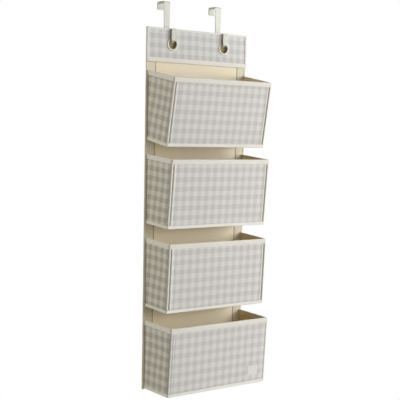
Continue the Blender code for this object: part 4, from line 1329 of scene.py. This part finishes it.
header_cloth()
header_tape()
header_hem()
back_cloth()
for side, word in ((-1, "left"), (1, "right")):
    sheet_edge(side, word)
    door_hook(side, word)
for number in range(1, len(POCKETS) + 1):
    pocket = Pocket(number)
    crease = pocket.half_base
    front_cloth(pocket)
    mouth_tape(pocket)
    foot_tape(pocket)
    for side, word in ((-1, "left"), (1, "right")):
        side_cloth(pocket, side, word)
        side_tape(pocket, side, word)
        side_foot_tape(pocket, side, word)
    base_board(pocket, 0.0, crease - GAP / 2, "base_rear", f"{pocket.name}_rear",
               f"{pocket.name}_base_rear")
    base_board(pocket, crease + GAP / 2, 2 * crease, "base_front", f"{pocket.name}_middle",
               f"{pocket.name}_base_front")
label()
eyelets()
for node in NODES.values():
    if not node.hide_render:
        node.data.materials.clear()
        node.data.materials.append(BOARD)

# Floor, light and camera

bpy.ops.object.select_all(action="DESELECT")
bpy.ops.mesh.primitive_circle_add(vertices=96, radius=3.0, fill_type="NGON", location=(0, 0, -2.03))
floor = bpy.context.active_object
floor.name = "floor"
floor_paint = Finish("pale_floor", 0.75)
floor_tone = floor_paint.noise(floor_paint.body_place(), 3.0, 3)
floor_paint.shader.inputs["Emission Color"].default_value = (1, 1, 1, 1)
# The floor looks pale without throwing that light up on the pockets
seen_straight = floor_paint.add("ShaderNodeLightPath").outputs["Is Camera Ray"]
floor_paint.feed(floor_paint.shader.inputs["Emission Strength"],
                 floor_paint.range(seen_straight, 0.0, 1.0, 0.05, 0.50))
floor.data.materials.append(floor_paint.finish(
    floor_paint.mix(floor_tone, (0.86, 0.86, 0.85, 1), (0.90, 0.90, 0.89, 1))))

AIM = Vector((0, -0.07, -0.55))


def soft_light(name, azimuth, elevation, distance, size, power):
    """A square white light that looks at the organizer. Azimuth 0 is straight in front of it, and
    positive to its right."""
    a, e = math.radians(azimuth), math.radians(elevation)
    data = bpy.data.lights.new(name, "AREA")
    data.shape = "SQUARE"
    data.size = size
    data.energy = power
    obj = bpy.data.objects.new(name, data)
    way = Vector((math.sin(a) * math.cos(e), -math.cos(a) * math.cos(e), math.sin(e)))
    obj.location = AIM + way * distance
    obj.rotation_euler = (AIM - obj.location).to_track_quat("-Z", "Y").to_euler()
    bpy.context.scene.collection.objects.link(obj)


soft_light("key_light", 58, 12, 2.8, 1.9, 77)
soft_light("front_light", 15, 10, 2.8, 1.5, 19)
soft_light("rim_light", -108, 22, 2.4, 1.4, 17)

# The camera sees a white backdrop, and the object gets a dimmer, warmer light from all round
world = bpy.data.worlds.new("studio")
bpy.context.scene.world = world
world.use_nodes = True
tree = world.node_tree
tree.nodes.clear()
seen = tree.nodes.new("ShaderNodeBackground")
seen.inputs[0].default_value = (1, 1, 1, 1)
around = tree.nodes.new("ShaderNodeBackground")
around.inputs[0].default_value = (1.0, 0.98, 0.95, 1)
around.inputs[1].default_value = 0.23
ray = tree.nodes.new("ShaderNodeLightPath")
either = tree.nodes.new("ShaderNodeMixShader")
out = tree.nodes.new("ShaderNodeOutputWorld")
tree.links.new(ray.outputs["Is Camera Ray"], either.inputs[0])
tree.links.new(around.outputs[0], either.inputs[1])
tree.links.new(seen.outputs[0], either.inputs[2])
tree.links.new(either.outputs[0], out.inputs[0])
bpy.context.scene.view_settings.view_transform = "Standard"

# The camera that was fitted to the photo: where it stands, its turn in radians and its lens
CAMERA_PLACE = (-1.87606, -2.29706, -0.36667)
yaw, pitch, roll = 0.69703, -0.05552, 0.01565
forward = Vector((math.sin(yaw) * math.cos(pitch), math.cos(yaw) * math.cos(pitch),
                  math.sin(pitch)))
level = Vector((math.cos(yaw), -math.sin(yaw), 0))
upward = level.cross(forward)
right = level * math.cos(roll) + upward * math.sin(roll)
top = upward * math.cos(roll) - level * math.sin(roll)
camera_data = bpy.data.cameras.new("photo_camera")
camera_data.lens = 96.906
camera_data.sensor_width = 36
camera = bpy.data.objects.new("photo_camera", camera_data)
turn = Matrix((right, top, -forward)).transposed().to_4x4()
camera.matrix_world = Matrix.Translation(CAMERA_PLACE) @ turn
bpy.context.scene.collection.objects.link(camera)
bpy.context.scene.camera = camera
